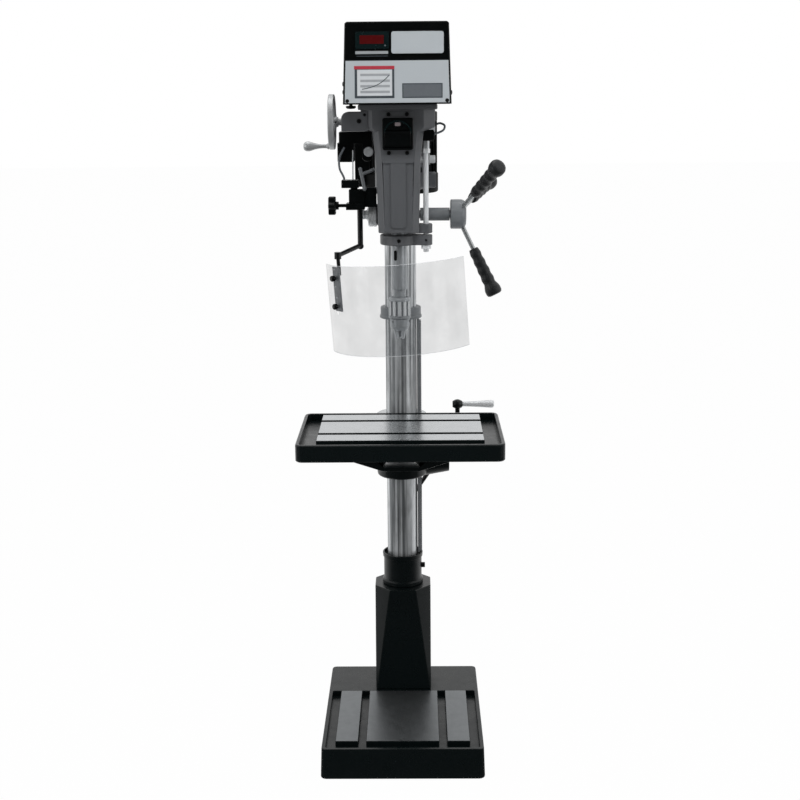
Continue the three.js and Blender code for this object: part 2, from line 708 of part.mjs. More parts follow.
function tableSlots() {
  const [y0, y1] = workSpan();
  const middle = (y0 + y1) / 2;
  const reach = TABLE_WIDTH / 2 - TABLE_RIM - TABLE_GUTTER + 1;
  const floor = TABLE_TOP - TABLE_TRAY;
  const neckFoot = TABLE_TOP - SLOT_NECK_DEPTH;
  return [-0.5, 0.5].flatMap((side) => {
    const y = middle + side * SLOT_SPACING;
    return [
      block([-reach, reach], [y - SLOT_NECK / 2, y + SLOT_NECK / 2], [floor, TABLE_TOP + 1]),
      block([-reach, reach], [y - SLOT_FOOT / 2, y + SLOT_FOOT / 2], [floor, neckFoot]),
    ];
  });
}

function tablePockets() {
  const columns = 4;
  const rows = 3;
  const inX = TABLE_WIDTH - 2 * TABLE_RIB;
  const inY = TABLE_DEPTH - 2 * TABLE_RIB;
  const width = (inX - (columns - 1) * TABLE_RIB) / columns;
  const depth = (inY - (rows - 1) * TABLE_RIB) / rows;
  const foot = TABLE_TOP - TABLE_THICKNESS;
  const pockets = [];
  for (let i = 0; i < columns; i += 1) {
    for (let j = 0; j < rows; j += 1) {
      const x = -inX / 2 + i * (width + TABLE_RIB);
      const y = TABLE_Y - inY / 2 + j * (depth + TABLE_RIB);
      pockets.push(block([x, x + width], [y, y + depth], [foot - 1, TABLE_TOP - TABLE_TRAY - TABLE_PLATE]));
    }
  }
  return pockets;
}

function table() {
  const half = TABLE_WIDTH / 2;
  const y = [TABLE_Y - TABLE_DEPTH / 2, TABLE_Y + TABLE_DEPTH / 2];
  const foot = TABLE_TOP - TABLE_THICKNESS;
  const slab = plate('z', rounded([-half, half], y, TABLE_CORNER), [foot, TABLE_TOP], 2.5);
  const [y0, y1] = workSpan();
  const reach = half - TABLE_RIM - TABLE_GUTTER;
  const work = block([-reach, reach], [y0, y1], [TABLE_TOP - TABLE_TRAY - 1, TABLE_TOP]);
  return cut(union(cut(slab, tableTray(), ...tablePockets()), work), ...tableSlots());
}

// ---------------------------------------------------------------- table bracket
function gearHousing() {
  const near = COLUMN_RADIUS + 8;
  const low = CRANK_Z - HOUSING_TAIL + HOUSING_RADIUS;
  const disc = (x, radius, z) => (
    circle(radius, 16, [CRANK_AXIS_Y, z]).map((p) => at(x, p.x, p.y))
  );
  return hull([
    ...disc(near, HOUSING_RADIUS + 8, CRANK_Z),
    ...disc(near, HOUSING_RADIUS + 8, low - 6),
    ...disc(HOUSING_END, HOUSING_RADIUS, CRANK_Z),
    ...disc(HOUSING_END, HOUSING_RADIUS, low),
  ]);
}

function tableBracket() {
  const foot = COLLAR_TOP - COLLAR_HEIGHT;
  const under = TABLE_TOP - TABLE_THICKNESS - GAP;
  const front = TABLE_Y - SADDLE_DEPTH / 2;
  const back = TABLE_Y + SADDLE_DEPTH / 2;
  const collar = turned('z', [
    [0, foot], [COLLAR_RADIUS - 4, foot], [COLLAR_RADIUS, foot + 4],
    [COLLAR_RADIUS, COLLAR_TOP - 1], [COLLAR_RADIUS - 1, COLLAR_TOP], [0, COLLAR_TOP],
  ], [0, COLUMN_Y], ROUND);
  const saddle = plate(
    'z', rounded([-SADDLE_WIDTH / 2, SADDLE_WIDTH / 2], [front, back], 20),
    [under - SADDLE_THICKNESS, under],
  );
  const root = COLUMN_Y - COLUMN_RADIUS / 2;
  const tip = front + ARM_TIP_SETBACK;
  const arm = hull([-0.5, 0.5].flatMap((side) => [
    at(side * ARM_WIDTH, root, under),
    at(side * ARM_WIDTH, root, under - ARM_ROOT_HEIGHT),
    at(side * ARM_WIDTH, back, under - ARM_HEIGHT),
    at(side * ARM_WIDTH, back, under),
    at(side * ARM_TIP_WIDTH, tip, under - 2),
    at(side * ARM_TIP_WIDTH, tip, under - ARM_TIP_HEIGHT),
  ]));
  const gussets = plate('y', polygon(
    [-SADDLE_WIDTH / 2, under], [-SADDLE_WIDTH / 2, under - GUSSET_EDGE],
    [-ARM_WIDTH / 2, under - GUSSET_RISE], [ARM_WIDTH / 2, under - GUSSET_RISE],
    [SADDLE_WIDTH / 2, under - GUSSET_EDGE], [SADDLE_WIDTH / 2, under],
  ), [back - GUSSET, back]);
  const slot = block(
    [0, RACK_X + RACK_THICKNESS + RUN],
    [COLUMN_Y - RACK_WIDTH / 2 - RUN, COLUMN_Y + RACK_WIDTH / 2 + RUN],
    [foot - 1, COLLAR_TOP + 1],
  );
  const bore = rod('z', COLUMN_RADIUS + RUN, [foot - 1, COLLAR_TOP + 1], [0, COLUMN_Y], ROUND);
  const pinionRoom = rod('y', LIFT_PINION + RUN, [COLUMN_Y - 12, CRANK_AXIS_Y + 13], [LIFT_X, LIFT_Z], 24);
  const wheelRoom = rod(
    'y', WORM_WHEEL + RUN, [CRANK_AXIS_Y - 12, CRANK_AXIS_Y + 13], [LIFT_X, LIFT_Z], 24,
  );
  const shaftRoom = rod('x', CRANK_SHAFT + RUN, [LIFT_X - 22, HOUSING_END + 1], [CRANK_AXIS_Y, CRANK_Z], 16);
  const lockRoom = rod(
    'y', LOCK_SCREW + RUN, [lockY() - 9, lockY() + 9], [LOCK_X, CRANK_Z - LOCK_DROP], 12,
  );
  const body = union(collar, saddle, arm, gussets, gearHousing());
  return cut(body, bore, slot, pinionRoom, wheelRoom, shaftRoom, lockRoom);
}

function liftPinion() {
  const centre = [LIFT_X, LIFT_Z];
  const span = [COLUMN_Y - 11, COLUMN_Y + 11];
  return union(
    rod('y', LIFT_PINION, span, centre, 18),
    rod('y', LIFT_PINION - 5, [span[0], CRANK_AXIS_Y + 12], centre, 18),
    rod('y', WORM_WHEEL, [CRANK_AXIS_Y - 11, CRANK_AXIS_Y + 11], centre, 24),
  );
}

function crankShaft() {
  const centre = [CRANK_AXIS_Y, CRANK_Z];
  return rod('x', CRANK_SHAFT, [LIFT_X - 21, CRANK_ARM_X - GAP], centre, 16);
}

function crankArm() {
  const right = CRANK_ARM_X + CRANK_ARM_WIDTH;
  const top = CRANK_Z + CRANK_REACH;
  const web = hull([[CRANK_Z, 9], [top, 7]].flatMap(([z, half]) => (
    [CRANK_ARM_X, right].flatMap((x) => [-half, half].map((dy) => at(x, CRANK_AXIS_Y + dy, z)))
  )));
  return union(
    web,
    rod('x', CRANK_HUB + 3, [CRANK_ARM_X, right + 4], [CRANK_AXIS_Y, CRANK_Z], 20),
    turned('x', [
      [0, CRANK_ARM_X - CRANK_BOSS], [CRANK_HUB - 5, CRANK_ARM_X - CRANK_BOSS],
      [CRANK_HUB, CRANK_ARM_X], [CRANK_HUB, right],
      [CRANK_HUB - 5, right + CRANK_BOSS], [0, right + CRANK_BOSS],
    ], [CRANK_AXIS_Y, top], 20),
  );
}

function crankHandle() {
  const from = CRANK_ARM_X + CRANK_ARM_WIDTH + CRANK_BOSS + GAP;
  const end = from + CRANK_HANDLE_LENGTH;
  return turned('x', [
    [0, from], [5, from], [5.5, from + 12], [CRANK_HANDLE_RADIUS - 1.5, end - 20],
    [CRANK_HANDLE_RADIUS, end - 6], [CRANK_HANDLE_RADIUS - 3, end], [0, end],
  ], [CRANK_AXIS_Y, CRANK_Z + CRANK_REACH], 16);
}

function lockY() {
  return CRANK_AXIS_Y + HOUSING_RADIUS + 10;
}

function tableLockLever() {
  const y = lockY();
  const centre = [LOCK_X, CRANK_Z - LOCK_DROP];
  const hub = at(LOCK_X, y + LOCK_HUB + 1, CRANK_Z - LOCK_DROP);
  const lean = at(-Math.sin(radians(LOCK_LEAN)), 0, -Math.cos(radians(LOCK_LEAN)));
  const tip = hub.clone().addScaledVector(lean, LOCK_LENGTH);
  return union(
    rod('y', LOCK_SCREW, [y - 8, y + 6], centre, 12),
    rod('y', LOCK_HUB, [y, y + 2 * LOCK_HUB], centre, 16),
    bar(hub, tip, LOCK_BAR),
    solid(new THREE.SphereGeometry(LOCK_BALL, 12, 8).translate(tip.x, tip.y, tip.z)),
  );
}

part('table', table(), 'black');
part('table_bracket', tableBracket(), 'black');
part('lift_pinion', liftPinion(), 'steel');
part('crank_shaft', crankShaft(), 'steel');
part('crank_arm', crankArm(), 'zinc');
part('crank_handle', crankHandle(), 'bright');
part('table_lock_lever', tableLockLever(), 'black');

// ---------------------------------------------------------------- head casting
function deck() {
  const half = DECK_WIDTH / 2;
  return plate(
    'z', rounded([-half, half], [NOSE_FRONT - 6, COLUMN_Y + HEAD_BACK], 6),
    [HEAD_TOP - DECK_THICKNESS, HEAD_TOP],
  );
}

function shoulder() {
  const under = HEAD_TOP - DECK_THICKNESS;
  const front = (SHOULDER_WIDTH - SHOULDER_FRONT) / 2;
  const span = [NOSE_FRONT, COLUMN_Y + HEAD_BACK];
  const foot = HEAD_TOP - SHOULDER_DEPTH;
  const slope = 9;
  return loft(
    [foot - slope, cutCorners(SHOULDER_FRONT, [span[0], span[1] - SHOULDER_BACK], 10, 10)],
    [foot, cutCorners(SHOULDER_WIDTH, span, front, 12)],
    [under + 1, cutCorners(SHOULDER_WIDTH, span, front, 12)],
  );
}

function nose() {
  const span = [NOSE_FRONT, NOSE_BACK];
  const top = HEAD_TOP - SHOULDER_DEPTH - 6;
  const waist = [NOSE_WAIST, cutCorners(NOSE_WAIST_WIDTH, span, NOSE_CUT, NOSE_CUT)];
  return union(
    loft([top, cutCorners(NOSE_TOP_WIDTH, span, NOSE_CUT, NOSE_CUT)], waist),
    loft(waist, [HEAD_BOTTOM, cutCorners(NOSE_FOOT_WIDTH, span, NOSE_CUT, NOSE_CUT)]),
  );
}

function noseFace() {
  const proud = [NOSE_FRONT - NOSE_RIB_PROUD, NOSE_FRONT + 4];
  const padTop = HEAD_TOP - SWITCH_PAD_TOP;
  const rib = rounded(
    [-NOSE_RIB_WIDTH / 2, NOSE_RIB_WIDTH / 2], [NOSE_RIB_FOOT, NOSE_RIB_TOP + 20], 6,
  );
  const pad = rounded(
    [-SWITCH_PAD_WIDTH / 2, SWITCH_PAD_WIDTH / 2], [padTop - SWITCH_PAD_HEIGHT, padTop], 4,
  );
  return union(
    plate('y', rib, proud),
    plate('y', pad, [NOSE_FRONT - SWITCH_PAD_PROUD, NOSE_FRONT + 4]),
  );
}

function columnHouse() {
  const foot = HEAD_TOP - HOUSE_HEIGHT;
  const bridge = block(
    [-BRIDGE_WIDTH / 2, BRIDGE_WIDTH / 2], [NOSE_BACK - 5, COLUMN_Y],
    [HEAD_TOP - BRIDGE_HEIGHT, HEAD_TOP - DECK_THICKNESS],
  );
  const clamp = plate(
    'x', rounded([COLUMN_Y - 18, COLUMN_Y + 22], [foot + 6, foot + HOUSE_HEIGHT - SHOULDER_DEPTH], 8),
    [0, HOUSE_RADIUS + CLAMP_PROUD],
  );
  const boss = plate(
    'x', rounded([COLUMN_Y - 18, COLUMN_Y + 22], [foot + 3, foot + 3 + CLAMP_BOSS], 8),
    [0, HOUSE_RADIUS + CLAMP_BOSS_PROUD], 2,
  );
  const house = rod('z', HOUSE_RADIUS, [foot, HEAD_TOP - DECK_THICKNESS], [0, COLUMN_Y], ROUND);
  return union(house, bridge, clamp, boss);
}

// The lug on the right of the nose that the stop rod slides through.
function stopLug() {
  const reach = STOP_X + LUG_REACH;
  const round = 12;
  const outline = rounded(
    [NOSE_FOOT_WIDTH / 2 - 8, reach], [STOP_Y - LUG_REACH, STOP_Y + LUG_REACH], round,
  );
  return plate('z', outline, [LUG_TOP - LUG_HEIGHT, LUG_TOP]);
}

function headCasting() {
  const bossEnd = -NOSE_FOOT_WIDTH / 2 - 6;
  const springBoss = rod('x', SPRING_CAP_RADIUS - 3, [bossEnd, 0], [FEED_Y, FEED_Z], 24);
  const body = union(deck(), shoulder(), nose(), noseFace(), columnHouse(), stopLug(), springBoss);
  const quillBore = rod(
    'z', QUILL_RADIUS + RUN, [HEAD_BOTTOM - 9, QUILL_FOOT + QUILL_LENGTH + 12], [0, SPINDLE_Y], 24,
  );
  const spindleBore = rod('z', SPINDLE_RADIUS + 6, [HEAD_BOTTOM, HEAD_TOP + 1], [0, SPINDLE_Y], 24);
  const columnBore = rod(
    'z', COLUMN_RADIUS + GAP, [HEAD_BOTTOM, COLUMN_TOP + GAP], [0, COLUMN_Y], ROUND,
  );
  const feedBore = rod('x', FEED_SHAFT + RUN, [-NOSE_FOOT_WIDTH, NOSE_FOOT_WIDTH], [FEED_Y, FEED_Z], 20);
  const pinionRoom = rod(
    'x', FEED_PINION + RUN, [-FEED_PINION_WIDTH / 2 - RUN, FEED_PINION_WIDTH / 2 + RUN],
    [FEED_Y, FEED_Z], 24,
  );
  const stopBore = rod(
    'z', STOP_RADIUS + RUN, [HEAD_BOTTOM - 9, HEAD_BOTTOM + STOP_BORE], [STOP_X, STOP_Y], 12,
  );
  const nutRoom = rod('z', STOP_NUT + 3, [NOSE_WAIST - NUT_ROOM, STOP_TOP + 3], [STOP_X, STOP_Y], 16);
  const beltRoom = block(
    [-BRIDGE_WIDTH / 2 + 12, BRIDGE_WIDTH / 2 - 12], [NOSE_BACK - 6, COLUMN_Y - COLUMN_RADIUS - 14],
    [HEAD_TOP - BRIDGE_HEIGHT + 14, HEAD_TOP + 1],
  );
  return cut(body, quillBore, spindleBore, columnBore, feedBore, pinionRoom, stopBore, nutRoom, beltRoom);
}

part('head_casting', headCasting(), 'grey');

// ---------------------------------------------------------------- switch
function switchBody() {
  const top = HEAD_TOP - SWITCH_DROP;
  const half = SWITCH_WIDTH / 2;
  const back = SWITCH_FACE;
  const front = back - SWITCH_DEPTH;
  const shell = plate('y', rounded([-half, half], [top - SWITCH_HEIGHT, top], 5), [front, back], 1.5);
  const start = block(
    [-START_WIDTH / 2 - RUN, START_WIDTH / 2 + RUN], [front - 1, back - 4],
    [startTop() - START_HEIGHT - RUN, startTop() + RUN],
  );
  const paddle = block(
    [-half + 5, half - 5], [front - 1, front + PADDLE_THICKNESS + 4],
    [paddleFoot() - RUN, paddleFoot() + PADDLE_HEIGHT + 2 * RUN],
  );
  return cut(shell, start, paddle);
}

function startTop() {
  return HEAD_TOP - SWITCH_DROP - 8;
}

function paddleFoot() {
  return HEAD_TOP - SWITCH_DROP - SWITCH_HEIGHT + 5;
}

function startButton() {
  const front = SWITCH_FACE - SWITCH_DEPTH;
  const outline = rounded([-START_WIDTH / 2, START_WIDTH / 2], [startTop() - START_HEIGHT, startTop()], 3);
  return plate('y', outline, [front - 1.5, front + 7]);
}

// The stop paddle hangs on its lower edge and has a lip along its top.
function stopPaddle() {
  const front = SWITCH_FACE - SWITCH_DEPTH;
  const half = SWITCH_WIDTH / 2 - 5 - RUN;
  const foot = paddleFoot();
  const top = foot + PADDLE_HEIGHT;
  return plate('x', polygon(
    [front + PADDLE_THICKNESS, foot + 1], [front + 1, foot + 1], [front - 1, foot + 6],
    [front - 2, top - PADDLE_LIP - 4], [front - PADDLE_LIP, top - 4], [front - PADDLE_LIP + 1, top],
    [front + 1, top - PADDLE_LIP + 4], [front + PADDLE_THICKNESS - 2, top - 2 * PADDLE_LIP],
  ), [-half, half]);
}

part('switch_body', switchBody(), 'plastic');
part('start_button', startButton(), 'button');
part('stop_paddle', stopPaddle(), 'plastic');

// ---------------------------------------------------------------- quill, spindle and chuck
const ON_SPINDLE = [0, SPINDLE_Y];

function quill() {
  const top = QUILL_FOOT + QUILL_LENGTH;
  const bore = SPINDLE_RADIUS + 1.5;
  const seat = BEARING_RADIUS + GAP;
  return turned('z', [
    [seat, QUILL_FOOT], [QUILL_RADIUS - 1, QUILL_FOOT], [QUILL_RADIUS, QUILL_FOOT + 1], [QUILL_RADIUS, top],
    [bore, top], [bore, QUILL_FOOT + BEARING_HEIGHT + 2], [seat, QUILL_FOOT + BEARING_HEIGHT + 2],
  ], ON_SPINDLE, 24);
}

function quillBearing() {
  const span = [QUILL_FOOT + 1, QUILL_FOOT + 1 + BEARING_HEIGHT];
  return ring('z', SPINDLE_RADIUS + RUN, BEARING_RADIUS, span, ON_SPINDLE, 24);
}

function spindle() {
  const shoulderTop = QUILL_FOOT - GAP;
  const nose = QUILL_RADIUS - 3;
  return turned('z', [
    [0, CHUCK_TOP + GAP], [nose, CHUCK_TOP + GAP], [nose, shoulderTop], [SPINDLE_RADIUS, shoulderTop],
    [SPINDLE_RADIUS, SPINDLE_TOP - 2], [SPINDLE_RADIUS - 2, SPINDLE_TOP], [0, SPINDLE_TOP],
  ], ON_SPINDLE, 24);
}

function chuckBody() {
  const foot = CHUCK_TOP - SLEEVE_HEIGHT - CHUCK_HEIGHT;
  const core = CHUCK_RADIUS - 7;
  const body = turned('z', [
    [0, foot + 2], [5, foot], [core, foot], [CHUCK_RADIUS, foot + 9],
    [CHUCK_RADIUS, foot + CHUCK_HEIGHT - GAP], [core, foot + CHUCK_HEIGHT - GAP],
    [core, CHUCK_TOP - 2], [0, CHUCK_TOP - 2],
  ], ON_SPINDLE, 30);
  const holes = JAWS.map((turn) => (
    jaw(turn, JAW_SIZE + 2 * GAP, JAW_SHOWING + CHUCK_HEIGHT + JAW_RELIEF)
  ));
  const key = rod('y', KEY_HOLE, [SPINDLE_Y - 40, SPINDLE_Y - CHUCK_RADIUS + 7], [0, foot + 18], 12);
  return cut(body, ...holes, key);
}

// The outer sleeve has flutes all round, and turns on the body to move the jaws.
function chuckSleeve() {
  const foot = CHUCK_TOP - SLEEVE_HEIGHT;
  const core = CHUCK_RADIUS - 7 + RUN;
  const body = turned('z', [
    [core, foot], [SLEEVE_RADIUS - 2, foot], [SLEEVE_RADIUS, foot + 2], [SLEEVE_RADIUS, CHUCK_TOP - 6],
    [SLEEVE_RADIUS - 4, CHUCK_TOP], [core, CHUCK_TOP],
  ], ON_SPINDLE, 30);
  const flutes = circle(SLEEVE_RADIUS + 1.2, SLEEVE_FLUTES, ON_SPINDLE).map((place) => (
    rod('z', 2.6, [foot + 6, CHUCK_TOP - 8], [place.x, place.y], 6)
  ));
  return cut(body, ...flutes);
}

const JAWS = [90, 210, 330];

// A jaw's line leans in toward the spindle axis; turn is its place round that axis, in degrees.
function jawLine(turn) {
  const lean = radians(JAW_LEAN);
  const out = at(Math.cos(radians(turn)), Math.sin(radians(turn)), 0);
  const direction = out.clone().multiplyScalar(-Math.sin(lean)).addScaledVector(Z, -Math.cos(lean));
  const foot = CHUCK_TOP - SLEEVE_HEIGHT - CHUCK_HEIGHT - JAW_SHOWING;
  const tip = at(0, SPINDLE_Y, foot).addScaledVector(out, JAW_SIZE / 2 + 2.8);
  return { out, direction, tip };
}

function jaw(turn, size, length) {
  const { out, direction, tip } = jawLine(turn);
  const side = out.clone().cross(Z);
  const depth = side.clone().cross(direction);
  const corners = [-0.5, 0.5].flatMap((a) => [-0.5, 0.5].flatMap((b) => [0, 1].map((c) => (
    tip.clone().addScaledVector(side, a * size).addScaledVector(depth, b * size)
      .addScaledVector(direction, -c * length)
  ))));
  return hull(corners);
}

function chuckJaw(turn) {
  const top = CHUCK_TOP - SLEEVE_HEIGHT - JAW_TRAVEL - 2;
  const room = rod('z', CHUCK_RADIUS, [top - CHUCK_HEIGHT - JAW_SHOWING, top], ON_SPINDLE, 16);
  return jaw(turn, JAW_SIZE, JAW_SHOWING + CHUCK_HEIGHT).intersect(room);
}

function quillCollar() {
  const foot = QUILL_COLLAR_TOP - QUILL_COLLAR_HEIGHT;
  const ring = turned('z', [
    [0, foot], [QUILL_COLLAR_RADIUS - 2, foot], [QUILL_COLLAR_RADIUS, foot + 2],
    [QUILL_COLLAR_RADIUS, QUILL_COLLAR_TOP - 2], [QUILL_COLLAR_RADIUS - 2, QUILL_COLLAR_TOP],
    [0, QUILL_COLLAR_TOP],
  ], ON_SPINDLE, ROUND);
  const lug = hull([foot, QUILL_COLLAR_TOP].flatMap((z) => [
    ...circle(QUILL_RADIUS + QUILL_COLLAR_LUG / 2, 24, ON_SPINDLE).map((p) => at(p.x, p.y, z)),
    ...circle(QUILL_COLLAR_LUG, 20, [STOP_X, STOP_Y]).map((p) => at(p.x, p.y, z)),
  ]));
  const bore = rod('z', QUILL_RADIUS + GAP, [foot - 1, QUILL_COLLAR_TOP + 1], ON_SPINDLE, 24);
  const stopHole = rod('z', STOP_RADIUS + GAP, [foot - 1, QUILL_COLLAR_TOP + 1], [STOP_X, STOP_Y], 16);
  return cut(union(ring, lug), bore, stopHole);
}

part('quill', quill(), 'steel');
part('quill_bearing', quillBearing(), 'steel');
part('spindle', spindle(), 'steel');
part('chuck_body', chuckBody(), 'steel');
part('chuck_sleeve', chuckSleeve(), 'steel');
JAWS.forEach((turn, i) => part(`chuck_jaw_${i + 1}`, chuckJaw(turn), 'steel'));
part('quill_collar', quillCollar(), 'grey');

// ---------------------------------------------------------------- depth stop
function stopRod() {
  const seat = QUILL_COLLAR_TOP - QUILL_COLLAR_HEIGHT - GAP;
  return turned('z', [
    [0, STOP_FOOT], [STOP_RADIUS, STOP_FOOT], [STOP_RADIUS, seat - 9], [STOP_RADIUS + 5, seat - 9],
    [STOP_RADIUS + 5, seat], [STOP_RADIUS, seat], [STOP_RADIUS, STOP_NUT_FOOT + STOP_NUT_HEIGHT + GAP],
    [STOP_RADIUS + 2, STOP_NUT_FOOT + STOP_NUT_HEIGHT + GAP], [STOP_RADIUS + 2, STOP_TOP - 2],
    [STOP_RADIUS, STOP_TOP], [0, STOP_TOP],
  ], [STOP_X, STOP_Y], 16);
}

function stopNut() {
  const body = rod('z', STOP_NUT, [STOP_NUT_FOOT, STOP_NUT_FOOT + STOP_NUT_HEIGHT], [STOP_X, STOP_Y], 6);
  return cut(body, rod('z', STOP_RADIUS + GAP, [0, STOP_TOP], [STOP_X, STOP_Y], 16));
}

part('stop_rod', stopRod(), 'bright');
part('stop_nut', stopNut(), 'zinc');

// ---------------------------------------------------------------- feed
const ON_FEED = [FEED_Y, FEED_Z];

function feedSleeve() {
  const from = NOSE_FOOT_WIDTH / 2 + 3;
  return ring('x', FEED_SHAFT + RUN, FEED_SLEEVE, [from, FEED_SLEEVE_END], ON_FEED, 24);
}

function feedShaft() {
  const half = FEED_PINION_WIDTH / 2;
  const left = -NOSE_FOOT_WIDTH / 2 - 8 - SPRING_CAP_WIDTH;
  return union(
    rod('x', FEED_SHAFT, [left - SPRING_NUT_WIDTH - 2, HUB_X + HUB_LENGTH - 6], ON_FEED, 20),
    rod('x', FEED_PINION, [-half, half], ON_FEED, 18),
  );
}

function feedHub() {
  const end = HUB_X + HUB_LENGTH;
  const body = turned('x', [
    [0, HUB_X + 1], [HUB_RADIUS - 2, HUB_X + 1], [HUB_RADIUS, HUB_X + 3], [HUB_RADIUS, HUB_X + 20],
    [HUB_RADIUS - 13, end - 2], [HUB_RADIUS - 15, end], [0, end],
  ], ON_FEED, 24);
  return cut(body, rod('x', FEED_SHAFT + GAP, [HUB_X - 1, HUB_X + HUB_LENGTH - 6 + GAP], ON_FEED, 20));
}

// A spoke's line starts in the hub and leans outward; turn is its angle round the feed axis.
function spokeLine(turn) {
  const lean = radians(SPOKE_LEAN);
  const radial = at(0, Math.cos(radians(turn)), Math.sin(radians(turn)));
  const direction = radial.clone().multiplyScalar(Math.cos(lean)).addScaledVector(X, Math.sin(lean));
  const start = at(HUB_X + SPOKE_SEAT, FEED_Y, FEED_Z).addScaledVector(radial, HUB_RADIUS - 16);
  return { start, direction };
}

function spokeTurns() {
  return Array.from({ length: SPOKES }, (_, i) => SPOKE_START + (360 / SPOKES) * i);
}

function spokes() {
  const reach = SPOKE_LENGTH;
  return spokeTurns().map((turn) => {
    const { start, direction } = spokeLine(turn);
    return bar(start, start.clone().addScaledVector(direction, reach), SPOKE_RADIUS);
  });
}

// A grip swells into waves from a narrow neck to a flared end.
function grip(turn) {
  const { start, direction } = spokeLine(turn);
  const bore = SPOKE_RADIUS + GAP;
  const profile = [[0, GRIP_LENGTH], [0, SPOKE_INSET], [bore, SPOKE_INSET], [bore, 0], [GRIP_WAIST, 0]];
  const wave = (GRIP_LENGTH * 0.72) / GRIP_WAVES;
  for (let i = 0; i < GRIP_WAVES; i += 1) {
    profile.push([GRIP_SWELL, wave * (i + 0.5)], [GRIP_WAIST + 1, wave * (i + 1)]);
  }
  profile.push([GRIP_END, GRIP_LENGTH - 12], [GRIP_END - 1, GRIP_LENGTH - 4], [GRIP_END - 6, GRIP_LENGTH]);
  return along(start.clone().addScaledVector(direction, SPOKE_LENGTH - SPOKE_INSET), direction, profile);
}

function returnSpringCap() {
  const right = -NOSE_FOOT_WIDTH / 2 - 6 - GAP;
  const left = right - SPRING_CAP_WIDTH;
  const inner = SPRING_CAP_RADIUS - 3;
  return turned('x', [
    [inner, right], [SPRING_CAP_RADIUS, right], [SPRING_CAP_RADIUS, left + 2],
    [SPRING_CAP_RADIUS - 2, left], [FEED_SHAFT + RUN, left], [FEED_SHAFT + RUN, left + 3], [inner, left + 3],
  ], ON_FEED, 24);
}

// A flat spiral, wound outward from the shaft.
function returnSpring() {
  const right = -NOSE_FOOT_WIDTH / 2 - 6 - 2 * GAP;
  const steps = SPRING_TURNS * 12;
  const inside = FEED_SHAFT + RUN + 0.5;
  const pitch = (SPRING_CAP_RADIUS - 5 - inside) / SPRING_TURNS;
  const spiral = (offset) => Array.from({ length: steps + 1 }, (_, i) => {
    const angle = (2 * Math.PI * i * SPRING_TURNS) / steps;
    const radius = inside + offset + (pitch * i * SPRING_TURNS) / steps;
    return [FEED_Y + radius * Math.cos(angle), FEED_Z + radius * Math.sin(angle)];
  });
  return plate('x', polygon(...spiral(0), ...spiral(1).reverse()), [right - 12, right]);
}

function quillLockLever() {
  const start = at(-NOSE_WAIST_WIDTH / 2 - 3, SPINDLE_Y - LEVER_FORWARD, LEVER_Z);
  const end = start.clone().add(at(-LEVER_REACH, -5, -LEVER_FALL));
  const lean = at(-Math.sin(radians(LEVER_LEAN)), 0, Math.cos(radians(LEVER_LEAN)));
  const top = end.clone().addScaledVector(lean, LEVER_UP);
  const foot = end.clone().addScaledVector(lean, -LEVER_DOWN);
  return union(bar(start, end, LEVER_RADIUS), bar(top, foot, LEVER_RADIUS + 0.5));
}

part('feed_sleeve', feedSleeve(), 'grey');
part('feed_shaft', feedShaft(), 'steel');
part('feed_hub', union(feedHub(), ...spokes()), 'steel');
spokeTurns().forEach((turn, i) => part(`feed_grip_${i + 1}`, grip(turn), 'rubber'));
part('return_spring_cap', returnSpringCap(), 'zinc');
part('return_spring', returnSpring(), 'steel');
part('quill_lock_lever', quillLockLever(), 'bright');

// ---------------------------------------------------------------- motor and drive
const ON_MOTOR = [0, MOTOR_Y];

function motor() {
  const cowlTop = MOTOR_BOTTOM + MOTOR_COWL;
  const body = turned('z', [
    [0, MOTOR_BOTTOM], [MOTOR_RADIUS - 8, MOTOR_BOTTOM], [MOTOR_RADIUS + 2, MOTOR_BOTTOM + 10],
    [MOTOR_RADIUS + 2, cowlTop], [MOTOR_RADIUS - MOTOR_FIN, cowlTop],
    [MOTOR_RADIUS - MOTOR_FIN, MOTOR_TOP - 24], [MOTOR_RADIUS, MOTOR_TOP - 24], [MOTOR_RADIUS, MOTOR_TOP],
    [0, MOTOR_TOP],
  ], ON_MOTOR, ROUND);
  const fins = circle(MOTOR_RADIUS - MOTOR_FIN, MOTOR_FINS, ON_MOTOR, Math.PI / MOTOR_FINS).map((place) => {
    const out = new THREE.Vector2(place.x, place.y - MOTOR_Y).normalize();
    const side = new THREE.Vector2(-out.y, out.x).multiplyScalar(1.6);
    const foot = place.clone().addScaledVector(out, -2);
    const tip = place.clone().addScaledVector(out, MOTOR_FIN);
    const corners = [foot, tip].flatMap((p) => [p.clone().add(side), p.clone().sub(side)]);
    return loft(...[cowlTop - 1, MOTOR_TOP - 23].map((z) => [z, corners.map((p) => [p.x, p.y])]));
  });
  const shaftRoom = rod('z', MOTOR_SHAFT + RUN, [MOTOR_TOP - 40, MOTOR_TOP + 1], ON_MOTOR, 20);
  const box = block(
    [-MOTOR_RADIUS - MOTOR_BOX, -MOTOR_RADIUS + 20], [MOTOR_Y - 45, MOTOR_Y + 45],
    [MOTOR_BOTTOM + 16, MOTOR_TOP - 16],
  );
  return cut(union(body, ...fins, box), shaftRoom);
}

function motorPlate() {
  const y0 = COLUMN_Y + HEAD_BACK + GAP;
  const y1 = MOTOR_Y + MOTOR_RADIUS - 4;
  const outline = rounded([-DECK_WIDTH / 2 + 2, DECK_WIDTH / 2 - 2], [y0, y1], 30);
  const body = plate('z', outline, [HEAD_TOP - MOTOR_PLATE - 6, HEAD_TOP - 6]);
  return cut(body, rod('z', MOTOR_SHAFT + 6, [HEAD_TOP - 40, HEAD_TOP], ON_MOTOR, 20));
}

